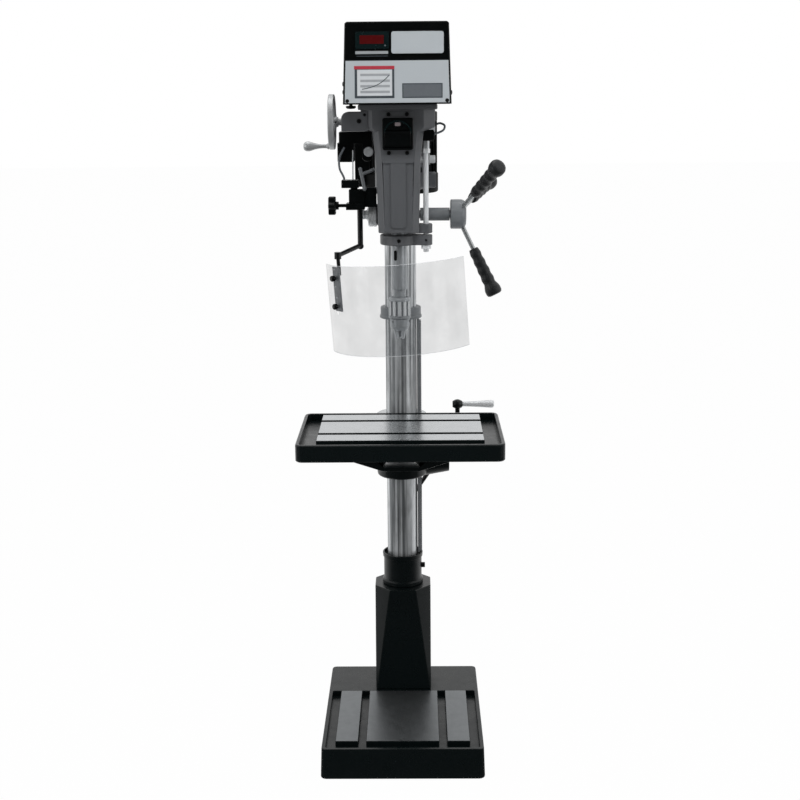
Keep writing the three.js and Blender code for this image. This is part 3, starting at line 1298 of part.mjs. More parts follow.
// Both sheaves are a pair of cones with the belt between them.
function sheave(bore, centre) {
  const middle = PULLEY_Z + PULLEY_HEIGHT / 2;
  const root = beltRadius() - BELT_THICKNESS / 2 - RUN;
  const half = BELT_WIDTH / 2 + RUN;
  return turned('z', [
    [bore, PULLEY_Z - 12], [PULLEY_HUB, PULLEY_Z - 12], [PULLEY_HUB, PULLEY_Z + 6],
    [PULLEY_RADIUS, middle - half - 3], [PULLEY_RADIUS, middle - half], [root, middle - half + 3],
    [root, middle + half - 3], [PULLEY_RADIUS, middle + half], [PULLEY_RADIUS, middle + half + 3],
    [PULLEY_HUB, PULLEY_Z + PULLEY_HEIGHT - 6], [PULLEY_HUB, PULLEY_Z + PULLEY_HEIGHT + 12],
    [bore, PULLEY_Z + PULLEY_HEIGHT + 12],
  ], centre, 24);
}

function beltRadius() {
  return PULLEY_RADIUS - 9;
}

function driveBelt() {
  const middle = PULLEY_Z + PULLEY_HEIGHT / 2;
  const loop = (radius) => {
    const shape = new THREE.Shape();
    shape.absarc(0, SPINDLE_Y, radius, Math.PI, 2 * Math.PI);
    shape.absarc(0, MOTOR_Y, radius, 0, Math.PI);
    return shape;
  };
  const outer = loop(beltRadius() + BELT_THICKNESS / 2);
  outer.holes.push(loop(beltRadius() - BELT_THICKNESS / 2));
  return plate('z', outer, [middle - BELT_WIDTH / 2 + 3, middle + BELT_WIDTH / 2 - 3], 0, 12);
}

function spindlePulley() {
  return sheave(SPINDLE_RADIUS + RUN, ON_SPINDLE);
}

function motorPulley() {
  const shaft = rod('z', MOTOR_SHAFT, [MOTOR_TOP - 38, PULLEY_Z + PULLEY_HEIGHT + 11], ON_MOTOR, 20);
  return union(sheave(MOTOR_SHAFT - 1, ON_MOTOR), shaft);
}

// ---------------------------------------------------------------- cover and panel
// The cover's plan at its foot, or at its top, drawn in by a wall; its back corners are round.
function coverPlan(inset, width, front) {
  const half = width / 2 - inset;
  const y0 = front + inset;
  const y1 = COVER_BACK_Y - inset;
  const radius = COVER_ROUND - inset;
  const steps = 8;
  const points = [[-half, y0 + 3], [-half + 3, y0], [half - 3, y0], [half, y0 + 3]];
  for (let corner = 0; corner < 2; corner += 1) {
    const x = (half - radius) * (corner ? -1 : 1);
    for (let i = 0; i <= steps; i += 1) {
      const angle = (corner + i / steps) * (Math.PI / 2);
      points.push([x + radius * Math.cos(angle), y1 - radius + radius * Math.sin(angle)]);
    }
  }
  return points;
}

function coverFront(z) {
  return COVER_FRONT_Y + (COVER_LEAN * (z - COVER_FOOT)) / COVER_HEIGHT;
}

function coverShape(inset) {
  const foot = inset ? COVER_FOOT - 1 : COVER_FOOT;
  const top = COVER_FOOT + COVER_HEIGHT - inset;
  return loft(
    [foot, coverPlan(inset, COVER_WIDTH, coverFront(foot))],
    [top - 4, coverPlan(inset, COVER_TOP_WIDTH, coverFront(top - 4))],
    [top, coverPlan(inset + 4, COVER_TOP_WIDTH, coverFront(top))],
  );
}

function beltCover() {
  return cut(coverShape(0), coverShape(COVER_WALL));
}

function coverPan() {
  const inset = COVER_WALL + GAP + 0.5;
  const plan = coverPlan(inset, COVER_WIDTH, COVER_FRONT_Y).map(([x, y]) => [x, y + (y < 0 ? 2 : 0)]);
  const body = loft([HEAD_TOP + GAP, plan], [PAN_TOP, plan]);
  const holes = [ON_SPINDLE, ON_MOTOR].map((place) => (
    rod('z', PULLEY_HUB + 4, [HEAD_TOP, PAN_TOP + 1], place, 24)
  ));
  return cut(body, ...holes);
}

// Everything on the cover's front is drawn flat here, with its foot at zero, and leans with the front.
const face = new THREE.Group();
face.position.set(0, COVER_FRONT_Y, COVER_FOOT);
face.rotation.x = Math.PI / 2 - Math.atan2(COVER_LEAN, COVER_HEIGHT);
press.add(face);

function frontPanel() {
  const half = COVER_TOP_WIDTH / 2 - PANEL_MARGIN;
  return plate('z', rounded([-half, half], [PANEL_FOOT, PANEL_SPLIT], 2), [GAP, GAP + PANEL_THICKNESS]);
}

function displayHousing() {
  const span = [GAP, GAP + DISPLAY_THICKNESS];
  const u = [DISPLAY_LEFT, DISPLAY_LEFT + DISPLAY_WIDTH];
  const body = plate('z', rounded(u, [DISPLAY_FOOT, DISPLAY_FOOT + DISPLAY_HEIGHT], 3), span, 1);
  const middle = [(u[0] + u[1]) / 2 - 2, DISPLAY_FOOT + DISPLAY_HEIGHT / 2 + 2];
  return cut(body, block(
    [middle[0] - WINDOW_WIDTH / 2, middle[0] + WINDOW_WIDTH / 2],
    [middle[1] - WINDOW_HEIGHT / 2, middle[1] + WINDOW_HEIGHT / 2],
    [DISPLAY_THICKNESS - 2, DISPLAY_THICKNESS + 2],
  ));
}

part('motor', motor(), 'black');
part('motor_plate', motorPlate(), 'black');
part('motor_pulley', motorPulley(), 'steel');
part('spindle_pulley', spindlePulley(), 'steel');
part('drive_belt', driveBelt(), 'rubber');
part('cover_pan', coverPan(), 'black');
part('belt_cover', beltCover(), 'black');
part('front_panel', frontPanel(), 'light', face);
part('display_housing', displayHousing(), 'plastic', face);

// ---------------------------------------------------------------- speed control
function speedGearbox() {
  const left = -GEARBOX_LEFT;
  const right = -GEARBOX_RIGHT;
  const side = -SHOULDER_WIDTH / 2 - GAP;
  const slopeAt = (x) => NOSE_FRONT - x - SHOULDER_FRONT / 2 - 2 * GAP;
  const top = HEAD_TOP - DECK_THICKNESS - GEARBOX_DROP;
  const front = SPEED_Y - GEARBOX_FORWARD;
  const back = SPEED_Y + GEARBOX_BACKWARD;
  const body = plate('z', polygon(
    [left, front], [right, front], [right, slopeAt(right)],
    [side, slopeAt(side)], [side, back], [left, back],
  ), [top - GEARBOX_HEIGHT, top]);
  const corner = cut(
    block([left - 1, left + GEARBOX_ROUND], [front - 1, back + 1], [top - GEARBOX_ROUND, top + 1]),
    rod('y', GEARBOX_ROUND, [front - 2, back + 2], [left + GEARBOX_ROUND, top - GEARBOX_ROUND], 32),
  );
  const bore = rod(
    'x', WHEEL_SHAFT + RUN, [left - 1, left + WHEEL_SHAFT_DEPTH + 4], [SPEED_Y, SPEED_Z], 16,
  );
  return cut(body, corner, bore);
}

function speedWheel() {
  const x = -WHEEL_X;
  const inner = WHEEL_RADIUS - WHEEL_RIM_DEPTH;
  const round = 2;
  const rim = turned('x', [
    [inner, x - WHEEL_RIM + round], [WHEEL_RADIUS - round, x - WHEEL_RIM], [WHEEL_RADIUS, x - round],
    [WHEEL_RADIUS, x + round], [WHEEL_RADIUS - round, x + WHEEL_RIM], [inner, x + WHEEL_RIM - round],
  ], [SPEED_Y, SPEED_Z], 24);
  const root = at(x + WHEEL_RIM, SPEED_Y, SPEED_Z);
  const reach = inner + WHEEL_RIM_DEPTH / 3;
  const spokesOfWheel = WHEEL_SPOKES.map(radians).map((turn) => {
    const end = at(x, SPEED_Y + reach * Math.cos(turn), SPEED_Z + reach * Math.sin(turn));
    return bar(root, end, WHEEL_SPOKE, 8);
  });
  const hub = rod('x', WHEEL_HUB, [x - 4, -GEARBOX_LEFT - 2], [SPEED_Y, SPEED_Z], 20);
  const shaft = rod('x', WHEEL_SHAFT, [x, -GEARBOX_LEFT + WHEEL_SHAFT_DEPTH], [SPEED_Y, SPEED_Z], 16);
  const seatAt = [SPEED_Y, SPEED_Z - WHEEL_HANDLE_REACH];
  const seat = rod('x', WHEEL_SPOKE + 1, [x - WHEEL_RIM, x + 2], seatAt, 12);
  return union(rim, ...spokesOfWheel, hub, shaft, seat);
}

function wheelHandle() {
  const from = -WHEEL_X - WHEEL_RIM - GAP;
  const end = from - WHEEL_HANDLE_LENGTH;
  return turned('x', [
    [0, end], [7, end], [WHEEL_HANDLE_RADIUS, end + 6], [WHEEL_HANDLE_RADIUS, end + 16],
    [5, from - 16], [4.5, from - 6], [7, from - 3], [7, from], [0, from],
  ], [SPEED_Y, SPEED_Z - WHEEL_HANDLE_REACH], 16);
}

function terminalBox() {
  const y = [SPEED_Y + BOX_BEHIND, SPEED_Y + BOX_BEHIND + BOX_DEPTH];
  const neck = BOX_TOP - BOX_NECK;
  const upper = block([-BOX_LEFT + 4, -NOSE_TOP_WIDTH / 2 - 2], y, [neck, BOX_TOP]);
  const lower = block([-BOX_LEFT, -BOX_RIGHT - 1], y, [BOX_TOP - BOX_HEIGHT, neck + 2]);
  return union(upper, lower);
}

part('speed_gearbox', speedGearbox(), 'grey');
part('speed_wheel', speedWheel(), 'bright');
part('wheel_handle', wheelHandle(), 'bright');
part('terminal_box', terminalBox(), 'plastic');

// ---------------------------------------------------------------- chuck guard
const GUARD_FOOT = GUARD_BLOCK_TOP - GUARD_BLOCK_HEIGHT;
const GUARD_KNOB_Z = GUARD_FOOT + 8;

function guardBlock() {
  const left = GUARD_BLOCK_LEFT;
  const right = left + GUARD_BLOCK_WIDTH;
  const side = -NOSE_WAIST_WIDTH / 2 - GAP;
  const cap = GUARD_BLOCK_TOP + 4;
  const depth = (size) => [GUARD_Y - size / 2, GUARD_Y + size / 2];
  const body = union(
    block([left, right], depth(GUARD_BLOCK_DEPTH), [GUARD_FOOT, GUARD_BLOCK_TOP]),
    block(
      [left - GUARD_FLANGE, right], depth(GUARD_BLOCK_DEPTH + 10),
      [GUARD_FOOT - 1, GUARD_FOOT + GUARD_FLANGE_HEIGHT],
    ),
    block([right - 1, side], depth(GUARD_BLOCK_DEPTH - 6), [GUARD_FOOT + 5, cap]),
    block([left + 4, left + 20], depth(GUARD_BLOCK_DEPTH - 10), [GUARD_BLOCK_TOP - 1, cap + 1]),
    block(
      [GUARD_CAP_LEFT, GUARD_CAP_LEFT + GUARD_CAP_WIDTH], depth(GUARD_CAP_DEPTH),
      [cap, cap + GUARD_CAP_HEIGHT],
    ),
  );
  const bore = rod('z', GUARD_ROD + RUN, [GUARD_FOOT - 2, GUARD_BLOCK_TOP - 12], [GUARD_X, GUARD_Y], 16);
  const stud = rod(
    'x', GUARD_KNOB_STUD + RUN, [left - GUARD_FLANGE - 1, GUARD_X - GUARD_ROD], [GUARD_Y, GUARD_KNOB_Z], 12,
  );
  return cut(body, bore, stud);
}

function guardKnob() {
  const right = GUARD_KNOB_LEFT + GUARD_KNOB_THICKNESS;
  const neck = GUARD_BLOCK_LEFT - GUARD_FLANGE - 12;
  const points = GUARD_KNOB_LOBES * 6;
  const outline = new THREE.Shape(Array.from({ length: points }, (_, i) => {
    const angle = (2 * Math.PI * i) / points;
    const radius = GUARD_KNOB - 2.5 + 2.5 * Math.cos(GUARD_KNOB_LOBES * angle);
    return new THREE.Vector2(GUARD_Y + radius * Math.cos(angle), GUARD_KNOB_Z + radius * Math.sin(angle));
  }));
  return union(
    plate('x', outline, [GUARD_KNOB_LEFT, right], 2),
    rod('x', GUARD_KNOB_NECK, [right - 1, neck], [GUARD_Y, GUARD_KNOB_Z], 16),
    rod('x', GUARD_KNOB_STUD, [neck - 1, GUARD_X - GUARD_ROD - RUN], [GUARD_Y, GUARD_KNOB_Z], 12),
  );
}

// The strip's place on the shield's arc, at a height and a distance out from the spindle axis.
function onArc(angle, radius, z) {
  const turn = radians(angle);
  return at(-radius * Math.sin(turn), SPINDLE_Y - radius * Math.cos(turn), z);
}

function guardRod() {
  const elbow = at(GUARD_X, GUARD_Y, GUARD_ROD_FOOT);
  const inside = SHIELD_RADIUS - STRIP_THICKNESS - GUARD_PIN - 3 * GAP;
  const end = onArc(STRIP_ANGLE, inside, SHIELD_TOP + GUARD_PIN_LENGTH - STRIP_DROP);
  const lean = at(Math.sin(radians(GUARD_TILT)), 0, -Math.cos(radians(GUARD_TILT)));
  const pin = end.clone().addScaledVector(lean, GUARD_PIN_LENGTH + 20);
  return union(
    bar(at(GUARD_X, GUARD_Y, GUARD_BLOCK_TOP - 14), elbow, GUARD_ROD, 16),
    bar(elbow.clone().addScaledVector(Z, 6), end, GUARD_ROD - 1, 8),
    solid(new THREE.SphereGeometry(GUARD_ROD + 1.5, 12, 8).translate(elbow.x, elbow.y, elbow.z + 4)),
    rod('z', GUARD_KNUCKLE, [end.z - GUARD_KNUCKLE, end.z + GUARD_KNUCKLE], [end.x, end.y], 16),
    bar(end, pin, GUARD_PIN, 10),
  );
}

// The clamp strip and the shield hang from the end of the guard rod, a little out of level.
const guard = new THREE.Group();
const guardPivot = onArc(STRIP_ANGLE, SHIELD_RADIUS, SHIELD_TOP);
guard.position.copy(guardPivot);
guard.rotation.y = -radians(GUARD_TILT);
press.add(guard);

function hungFrom(body) {
  return body.translate([-guardPivot.x, -guardPivot.y, -guardPivot.z]);
}

function arcSlab(inner, outer, from, to, z, steps) {
  const point = (angle, radius) => {
    const p = onArc(angle, radius, 0);
    return [p.x, p.y];
  };
  const angles = Array.from({ length: steps + 1 }, (_, i) => from + ((to - from) * i) / steps);
  const outline = [
    ...angles.map((angle) => point(angle, outer)),
    ...angles.reverse().map((angle) => point(angle, inner)),
  ];
  return plate('z', polygon(...outline), z);
}

// Degrees that a length takes up along the shield's arc.
function onShield(length) {
  return THREE.MathUtils.radToDeg(length / SHIELD_RADIUS);
}

function shield() {
  const outer = SHIELD_RADIUS + SHIELD_THICKNESS;
  const z = [SHIELD_TOP - SHIELD_HEIGHT, SHIELD_TOP];
  const body = arcSlab(SHIELD_RADIUS, outer, SHIELD_RIGHT, SHIELD_LEFT, z, 28);
  const half = onShield(THUMB_SCREW / 2 + RUN);
  const slots = thumbHeights().map((height) => arcSlab(
    SHIELD_RADIUS - 3, outer + 3, STRIP_ANGLE - half, STRIP_ANGLE + half,
    [height - SHIELD_SLOT / 2, height + SHIELD_SLOT / 2], 1,
  ));
  return cut(body, ...slots);
}

function thumbHeights() {
  return [SHIELD_TOP - THUMB_UPPER, SHIELD_TOP - STRIP_HEIGHT + 2 * STRIP_DROP];
}

function shieldStrip() {
  const outer = SHIELD_RADIUS - 2 * GAP;
  const half = onShield(STRIP_WIDTH / 2);
  return arcSlab(
    outer - STRIP_THICKNESS, outer, STRIP_ANGLE - half, STRIP_ANGLE + half,
    [SHIELD_TOP - STRIP_DROP - STRIP_HEIGHT, SHIELD_TOP - STRIP_DROP], 4,
  );
}

function thumbScrew(height) {
  const from = onArc(STRIP_ANGLE, SHIELD_RADIUS - 0.2, height);
  const out = from.clone().sub(at(0, SPINDLE_Y, height)).normalize();
  const seat = SHIELD_THICKNESS + GAP + 0.5;
  return along(from, out, [
    [0, 0], [THUMB_SCREW / 2, 0], [THUMB_SCREW / 2, seat], [THUMB_SCREW, seat], [THUMB_SCREW, seat + 7],
    [THUMB_SCREW - 1.5, seat + 9], [0, seat + 9],
  ], 12);
}

part('guard_block', guardBlock(), 'black');
part('guard_knob', guardKnob(), 'plastic');
part('guard_rod', guardRod(), 'black');
part('shield_strip', hungFrom(shieldStrip()), 'black', guard);
part('shield', hungFrom(shield()), 'clear', guard);
thumbHeights().forEach((height, i) => (
  part(`shield_screw_${i + 1}`, hungFrom(thumbScrew(height)), 'plastic', guard)
));

// ---------------------------------------------------------------- cables
function interlockCable() {
  const start = at(-BOX_LEFT + 16, SPEED_Y + BOX_BEHIND - 2 * GAP, BOX_TOP - BOX_HEIGHT / 2 - 2);
  const route = [
    [0, 0, 0], [0, -4, -1], [-4, -8, -8], [-10, -8, -20], [-12, -8, -35], [-10, -7, -50], [-4, -6, -62],
    [-1, -6, -69], [-1, -6, -73],
  ];
  return tube(route.map((offset) => start.clone().add(at(...offset))), CABLE_RADIUS, 24);
}

function sideCable() {
  const root = at(SHOULDER_FRONT / 2 + 2, SPINDLE_Y - 31, HEAD_TOP - SHOULDER_DEPTH - 24);
  const loop = [[0, 0, 0], [22, -2, 8], [42, 4, 16], [46, 12, 27], [36, 20, 32], [27, 24, 30]];
  return tube(loop.map((offset) => root.clone().add(at(...offset))), CABLE_RADIUS, 16);
}

part('interlock_cable', interlockCable(), 'rubber');
part('side_cable', sideCable(), 'rubber');

export default press;
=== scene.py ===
"""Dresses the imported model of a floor-standing drill press: its shapes, finishes, light and camera."""
import functools
import math

import bmesh
import bpy
from mathutils import Matrix, Vector


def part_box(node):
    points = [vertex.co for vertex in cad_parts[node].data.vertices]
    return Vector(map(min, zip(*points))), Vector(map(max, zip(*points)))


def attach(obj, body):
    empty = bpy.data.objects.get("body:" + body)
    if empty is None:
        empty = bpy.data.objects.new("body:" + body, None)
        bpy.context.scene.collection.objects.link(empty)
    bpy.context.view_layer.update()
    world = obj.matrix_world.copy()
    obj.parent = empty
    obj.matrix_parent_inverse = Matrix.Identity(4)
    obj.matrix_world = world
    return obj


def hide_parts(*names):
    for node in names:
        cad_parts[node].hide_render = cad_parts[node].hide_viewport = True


bl_info = {
    "name": "Drill press",
    "version": (1, 0, 0),
    "blender": (4, 5, 0),
    "location": "3D View > Sidebar > Drill press",
    "description": "Builds a floor-standing drill press around its packed frame",
    "category": "Object",
}

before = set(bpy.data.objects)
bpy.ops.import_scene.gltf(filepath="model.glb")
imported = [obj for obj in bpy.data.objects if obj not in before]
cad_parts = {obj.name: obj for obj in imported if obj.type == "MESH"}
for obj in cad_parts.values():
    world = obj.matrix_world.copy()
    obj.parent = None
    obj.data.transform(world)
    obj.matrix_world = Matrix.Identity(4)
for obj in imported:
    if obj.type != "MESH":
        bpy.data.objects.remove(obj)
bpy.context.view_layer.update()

MM = 0.001
X = Vector((1, 0, 0))
Y = Vector((0, 1, 0))
Z = Vector((0, 0, 1))
SMOOTH_ANGLE = 32  # degrees: a sharper edge than this stays sharp
MERGE = 0.01  # corners of a solid's triangles that are closer than this are one
FLAT_ANGLE = 0.6  # degrees: triangles that meet flatter than this are one face


# ---------------------------------------------------------------- colours and nodes
def linear(hex_colour):
    """The linear colour of an sRGB hex value."""
    parts = [int(hex_colour[i:i + 2], 16) / 255 for i in (1, 3, 5)]
    return tuple(p / 12.92 if p <= 0.04045 else ((p + 0.055) / 1.055) ** 2.4 for p in parts) + (1.0,)


def per(size):
    """The scale at which a texture repeats about once in so many millimetres."""
    return 1 / (size * MM)


def add(tree, kind, values=None, **settings):
    """Add a node with its settings, and with its sockets' values or links."""
    node = tree.nodes.new("ShaderNode" + kind)
    for name, value in settings.items():
        setattr(node, name, value)
    for name, value in (values or {}).items():
        if isinstance(value, bpy.types.NodeSocket):
            tree.links.new(value, node.inputs[name])
        else:
            node.inputs[name].default_value = value
    return node


def new_material(name):
    """An empty material, its tree and the place of each point on the piece."""
    material = bpy.data.materials.new(name)
    material.use_nodes = True
    tree = material.node_tree
    tree.nodes.clear()
    return material, tree, add(tree, "TexCoord").outputs["Object"]


def surface(tree, values):
    """Close a tree with its shader."""
    shader = add(tree, "BsdfPrincipled", values)
    add(tree, "OutputMaterial", {"Surface": shader.outputs["BSDF"]})


def mix(tree, share, first, second):
    """One colour, changed into another by a share."""
    return add(tree, "Mix", {0: share, 6: first, 7: second}, data_type="RGBA").outputs[2]


def tones(tree, place, dark, light, size, detail=3.0):
    """A colour that drifts between two tones over patches of that size."""
    noise = add(tree, "TexNoise", {"Vector": place, "Scale": per(size), "Detail": detail})
    return mix(tree, noise.outputs["Fac"], linear(dark), linear(light))


def uneven(tree, place, low, high, size):
    """A roughness that wanders between two values over patches of that size."""
    noise = add(tree, "TexNoise", {"Vector": place, "Scale": per(size), "Detail": 4.0})
    return add(tree, "MapRange", {
        "Value": noise.outputs["Fac"], "From Min": 0.3, "From Max": 0.7, "To Min": low, "To Max": high,
    }).outputs["Result"]


def relief(tree, layers):
    """Bumps laid over each other, each a height, its depth in millimetres and its strength."""
    normal = None
    for height, depth, strength in layers:
        values = {"Height": height, "Distance": depth * MM, "Strength": strength}
        if normal:
            values["Normal"] = normal
        normal = add(tree, "Bump", values).outputs["Normal"]
    return normal


def grain(tree, place, size, detail=2.0, stretch=(1, 1, 1)):
    """The height of a noise with features of that size, drawn out along an axis where stretch is small."""
    mapped = add(tree, "Mapping", {"Vector": place, "Scale": stretch})
    return add(tree, "TexNoise", {
        "Vector": mapped.outputs["Vector"], "Scale": per(size), "Detail": detail,
    }).outputs["Fac"]


# ---------------------------------------------------------------- finishes
PAINT_PATCH = 55  # across a patch of slightly thinner paint
METAL_WAVE = 46  # across a slow wave of the metal beneath the paint
GLOSS_PATCH = 24  # across a patch of duller paint


def enamel(name, setting, shade, peel, gloss, specular):
    """Paint in one of the panel's colours.

    It has orange peel, the metal's slow waves beneath it, and an uneven gloss.
    """
    material, tree, place = new_material(name)
    full = getattr(bpy.context.scene.press_colours, setting)
    thin = [part * shade for part in full[:3]] + [1.0]
    patches = add(tree, "TexNoise", {"Vector": place, "Scale": per(PAINT_PATCH), "Detail": 3.0})
    surface(tree, {
        "Base Color": mix(tree, patches.outputs["Fac"], thin, full),
        "Roughness": uneven(tree, place, gloss - 0.05, gloss + 0.06, GLOSS_PATCH),
        "Specular IOR Level": specular,
        "Normal": relief(tree, [
            (grain(tree, place, METAL_WAVE, 1.0), 0.5, 0.35),
            (grain(tree, place, peel), 0.12, 0.3),
        ]),
    })
    return material


@functools.cache
def black_enamel():
    """Gloss black machine enamel over cast iron: deep black, and grey where it lies flat to the light."""
    return enamel("black_enamel_cast_iron", "black", 0.8, 3.2, 0.3, 0.27)


@functools.cache
def grey_enamel():
    """Satin grey machine enamel over cast iron: an even mid grey with soft highlights along its edges."""
    return enamel("grey_enamel_cast_iron", "grey", 0.86, 2.6, 0.42, 0.45)


@functools.cache
def light_grey_enamel():
    """The same enamel, a lighter batch, on the feed's turned parts and the ring over the rack."""
    return enamel("light_grey_enamel_steel", "light_grey", 0.88, 2.2, 0.38, 0.5)


@functools.cache
def powder_coat():
    """Black powder coat on sheet steel: fine even texture and a satin sheen."""
    return enamel("black_powder_coated_steel", "sheet_black", 0.7, 1.4, 0.4, 0.15)


@functools.cache
def motor_paint():
    """Black baked paint of the motor: matt, so its fins and cowl stay dark from every side."""
    return enamel("black_baked_motor_paint", "sheet_black", 0.8, 1.8, 0.6, 0.12)


@functools.cache
def panel_enamel():
    """Pale grey screen-printed enamel on an aluminium sheet: flat, even and slightly glossy."""
    return enamel("pale_grey_enamelled_aluminium", "panel", 0.95, 5.0, 0.36, 0.4)


@functools.cache
def ground_steel():
    """Ground steel tube: the grinding wheel's rings, light and dark upright bands painted into its colour as
    reflections of the room, and dull patches.
    """
    material, tree, place = new_material("ground_steel_tube")
    # Painted reflection: light and dark upright bands in the colour stand in for the room's reflections
    # along the tube.
    painted_reflection_streaks = add(tree, "MapRange", {
        "Value": grain(tree, place, 7, 3.0, (1, 1, 0.015)), "From Min": 0.4, "From Max": 0.6,
    })
    stains = add(tree, "MapRange", {
        "Value": grain(tree, place, 26, 4.0, (1, 1, 0.3)), "From Min": 0.5, "From Max": 0.72, "To Max": 0.5,
    })
    bare = mix(tree, painted_reflection_streaks.outputs["Result"], linear("#75787a"), linear("#dcdfe1"))
    # The wheel's rings are a tenth of a millimetre apart, drawn at 1.5 mm to show.
    surface(tree, {
        "Base Color": mix(tree, stains.outputs["Result"], bare, linear("#5c5e60")),
        "Metallic": 0.55,
        "Roughness": uneven(tree, place, 0.3, 0.44, 18),
        "Normal": relief(tree, [
            (grain(tree, place, 1.5, 2.0, (0.08, 0.08, 1)), 0.05, 0.12),
            (grain(tree, place, 11, 1.0, (1, 1, 0.04)), 0.3, 0.5),
        ]),
    })
    return material


def milled(name, dark, light, rough):
    """Cast iron cut by a face mill: satin, with tool marks along X and open pores."""
    material, tree, place = new_material(name)
    pores = grain(tree, place, 5, 5.0)
    # Tool marks are 0.3 mm apart, drawn at 2.4 mm to show.
    marks = grain(tree, place, 2.4, 3.0, (0.04, 1, 1))
    surface(tree, {
        "Base Color": tones(tree, place, dark, light, 30, 5.0),
        "Metallic": 0.9,
        "Roughness": uneven(tree, place, rough - 0.03, rough + 0.04, 14),
        "Normal": relief(tree, [(marks, 0.05, 0.1), (pores, 0.04, 0.06)]),
    })
    return material


@functools.cache
def machined_iron():
    """The table's face: clean milled iron that takes the pale room and the column's dark reflection."""
    return milled("machined_cast_iron", "#b0b3b5", "#bbbec0", 0.25)


@functools.cache
def oiled_iron():
    """The base's work pads: milled iron left dark by its rust-stop oil."""
    return milled("oiled_machined_iron", "#6b6e70", "#797c7e", 0.37)


def bright_metal(name, dark, light, shine, rough, lines, stretch):
    """A metal surface with its last tool's lines in it.

    Shine is the share that mirrors, and the rest is satin.
    """
    material, tree, place = new_material(name)
    # A tool's lines are about 0.1 mm apart, drawn at 1.4 to 4 mm to show.
    surface(tree, {
        "Base Color": tones(tree, place, dark, light, 14, 1.0),
        "Metallic": shine,
        "Roughness": uneven(tree, place, rough - 0.03, rough + 0.04, 9),
        "Normal": relief(tree, [(grain(tree, place, lines, 3.0, stretch), 0.04, 0.1)]),
    })
    return material


@functools.cache
def turned_steel():
    """Turned and ground steel of the quill, the chuck and the shafts: mid grey, with fine rings."""
    return bright_metal("turned_steel", "#999da0", "#a9adb0", 0.5, 0.36, 2.4, (0.1, 0.1, 1))


@functools.cache
def polished_steel():
    """The chuck sleeve's polished lands: bright bars that stand out between flutes whose deep faces are
    painted dark as shade.
    """
    return bright_metal("polished_chuck_steel", "#cdd0d2", "#dcdfe1", 0.3, 0.33, 2.4, (1, 1, 0.1))


@functools.cache
def chrome():
    """Bright chromium plate on the feed's spokes: shiny, with faint polishing lines."""
    return bright_metal("bright_chromium_plate", "#a4a7a8", "#b6b9b9", 0.7, 0.27, 4.0, (1, 1, 1))


@functools.cache
def zinc():
    """Zinc plate on small fasteners and the guard's stay: a slightly blue, clouded pale grey."""
    return bright_metal("zinc_plated_steel", "#b7babc", "#c9cccf", 0.5, 0.4, 2.0, (1, 1, 1))


@functools.cache
def bright_zinc():
    """Fresh zinc on the stop rod, the large nuts and the head's bolts: nearly white, with a soft gleam."""
    return bright_metal("fresh_zinc_plate", "#dadddf", "#eaecee", 0.25, 0.35, 2.0, (1, 1, 1))


@functools.cache
def strip_steel_and_flute_shade():
    """Cold-rolled steel: a mid grey satin with its rolling lines.

    It is the guard's strip and the quill's lock, and, as painted shade, the darker grey in the deep faces of
    the chuck's flutes between its polished lands.
    """
    return bright_metal("cold_rolled_strip", "#686b6e", "#777a7d", 0.5, 0.4, 1.4, (1, 1, 0.1))


@functools.cache
def rack_steel():
    """The rack's hot-rolled steel, hobbed: a smooth mid grey whose teeth don't glint."""
    return bright_metal("hobbed_rack_steel", "#7c7f82", "#8a8d90", 0.3, 0.5, 1.6, (1, 1, 0.2))


@functools.cache
def aluminium():
    """Die-cast aluminium of the sheaves and the hand wheel, buffed: a pale satin with a fine cast grain."""
    return bright_metal("buffed_cast_aluminium", "#a8aaab", "#b7b9ba", 0.55, 0.4, 1.6, (1, 1, 1))


@functools.cache
def bright_aluminium():
    """Spun aluminium of the crank's handle and the spring's cup: nearly white satin."""
    return bright_metal("spun_aluminium", "#d0d2d4", "#dddfe0", 0.4, 0.36, 1.6, (0.2, 1, 1))


@functools.cache
def black_oxide():
    """Black oxide on screws, levers and the guard's rod: a dark, oily satin."""
    material, tree, place = new_material("black_oxide_steel")
    # The oxide's own grain is too fine to see, and is drawn at 1.5 mm to show.
    surface(tree, {
        "Base Color": tones(tree, place, "#0b0c0d", "#141617", 8),
        "Metallic": 0.3,
        "Roughness": uneven(tree, place, 0.3, 0.44, 8),
        "Normal": relief(tree, [(grain(tree, place, 1.5), 0.05, 0.25)]),
    })
    return material


def moulded(name, dark, light, texture, rough, sheen=0.0, specular=0.35):
    """A moulded plastic or rubber, with the mould's spark texture in its skin."""
    material, tree, place = new_material(name)
    # Spark texture is about 0.2 mm across, drawn at 1 to 4 mm to show.
    surface(tree, {
        "Base Color": tones(tree, place, dark, light, 16),
        "Roughness": uneven(tree, place, rough - 0.05, rough + 0.07, 10),
        "Specular IOR Level": specular,
        "Sheen Weight": sheen,
        "Normal": relief(tree, [(grain(tree, place, texture, 3.0), 0.06, 0.35)]),
    })
    return material


@functools.cache
def black_plastic():
    """Moulded black ABS of the switch, the boxes and the guard's knobs: fine texture and a soft shine."""
    return moulded("moulded_black_abs", "#030505", "#070a0b", 1.1, 0.38, specular=0.2)


@functools.cache
def grip_rubber():
    """Black vinyl of the feed grips: dark grey and matt, with a greasy sheen on its rolls."""
    return moulded("dipped_black_vinyl", "#131516", "#1b1d1f", 1.6, 0.46, 0.1)


@functools.cache
def belt_rubber():
    """Neoprene drive belt: matt black with a dusty bloom."""
    return moulded("neoprene_belt", "#141414", "#232323", 2.2, 0.75, 0.1)


@functools.cache
def start_plastic():
    """The start button's lens: a pale translucent ABS with a trace of pink."""
    return moulded("pale_abs_lens", "#6c6466", "#797173", 1.0, 0.3)


@functools.cache
def bezel_plastic_and_arch_highlight():
    """Smoked teal acrylic of the display's bezel, dark with a high gloss; on the switch's arch its lighter
    teal is a painted highlight.
    """
    return moulded("smoked_teal_acrylic", "#081415", "#0b1a1b", 4.0, 0.22)


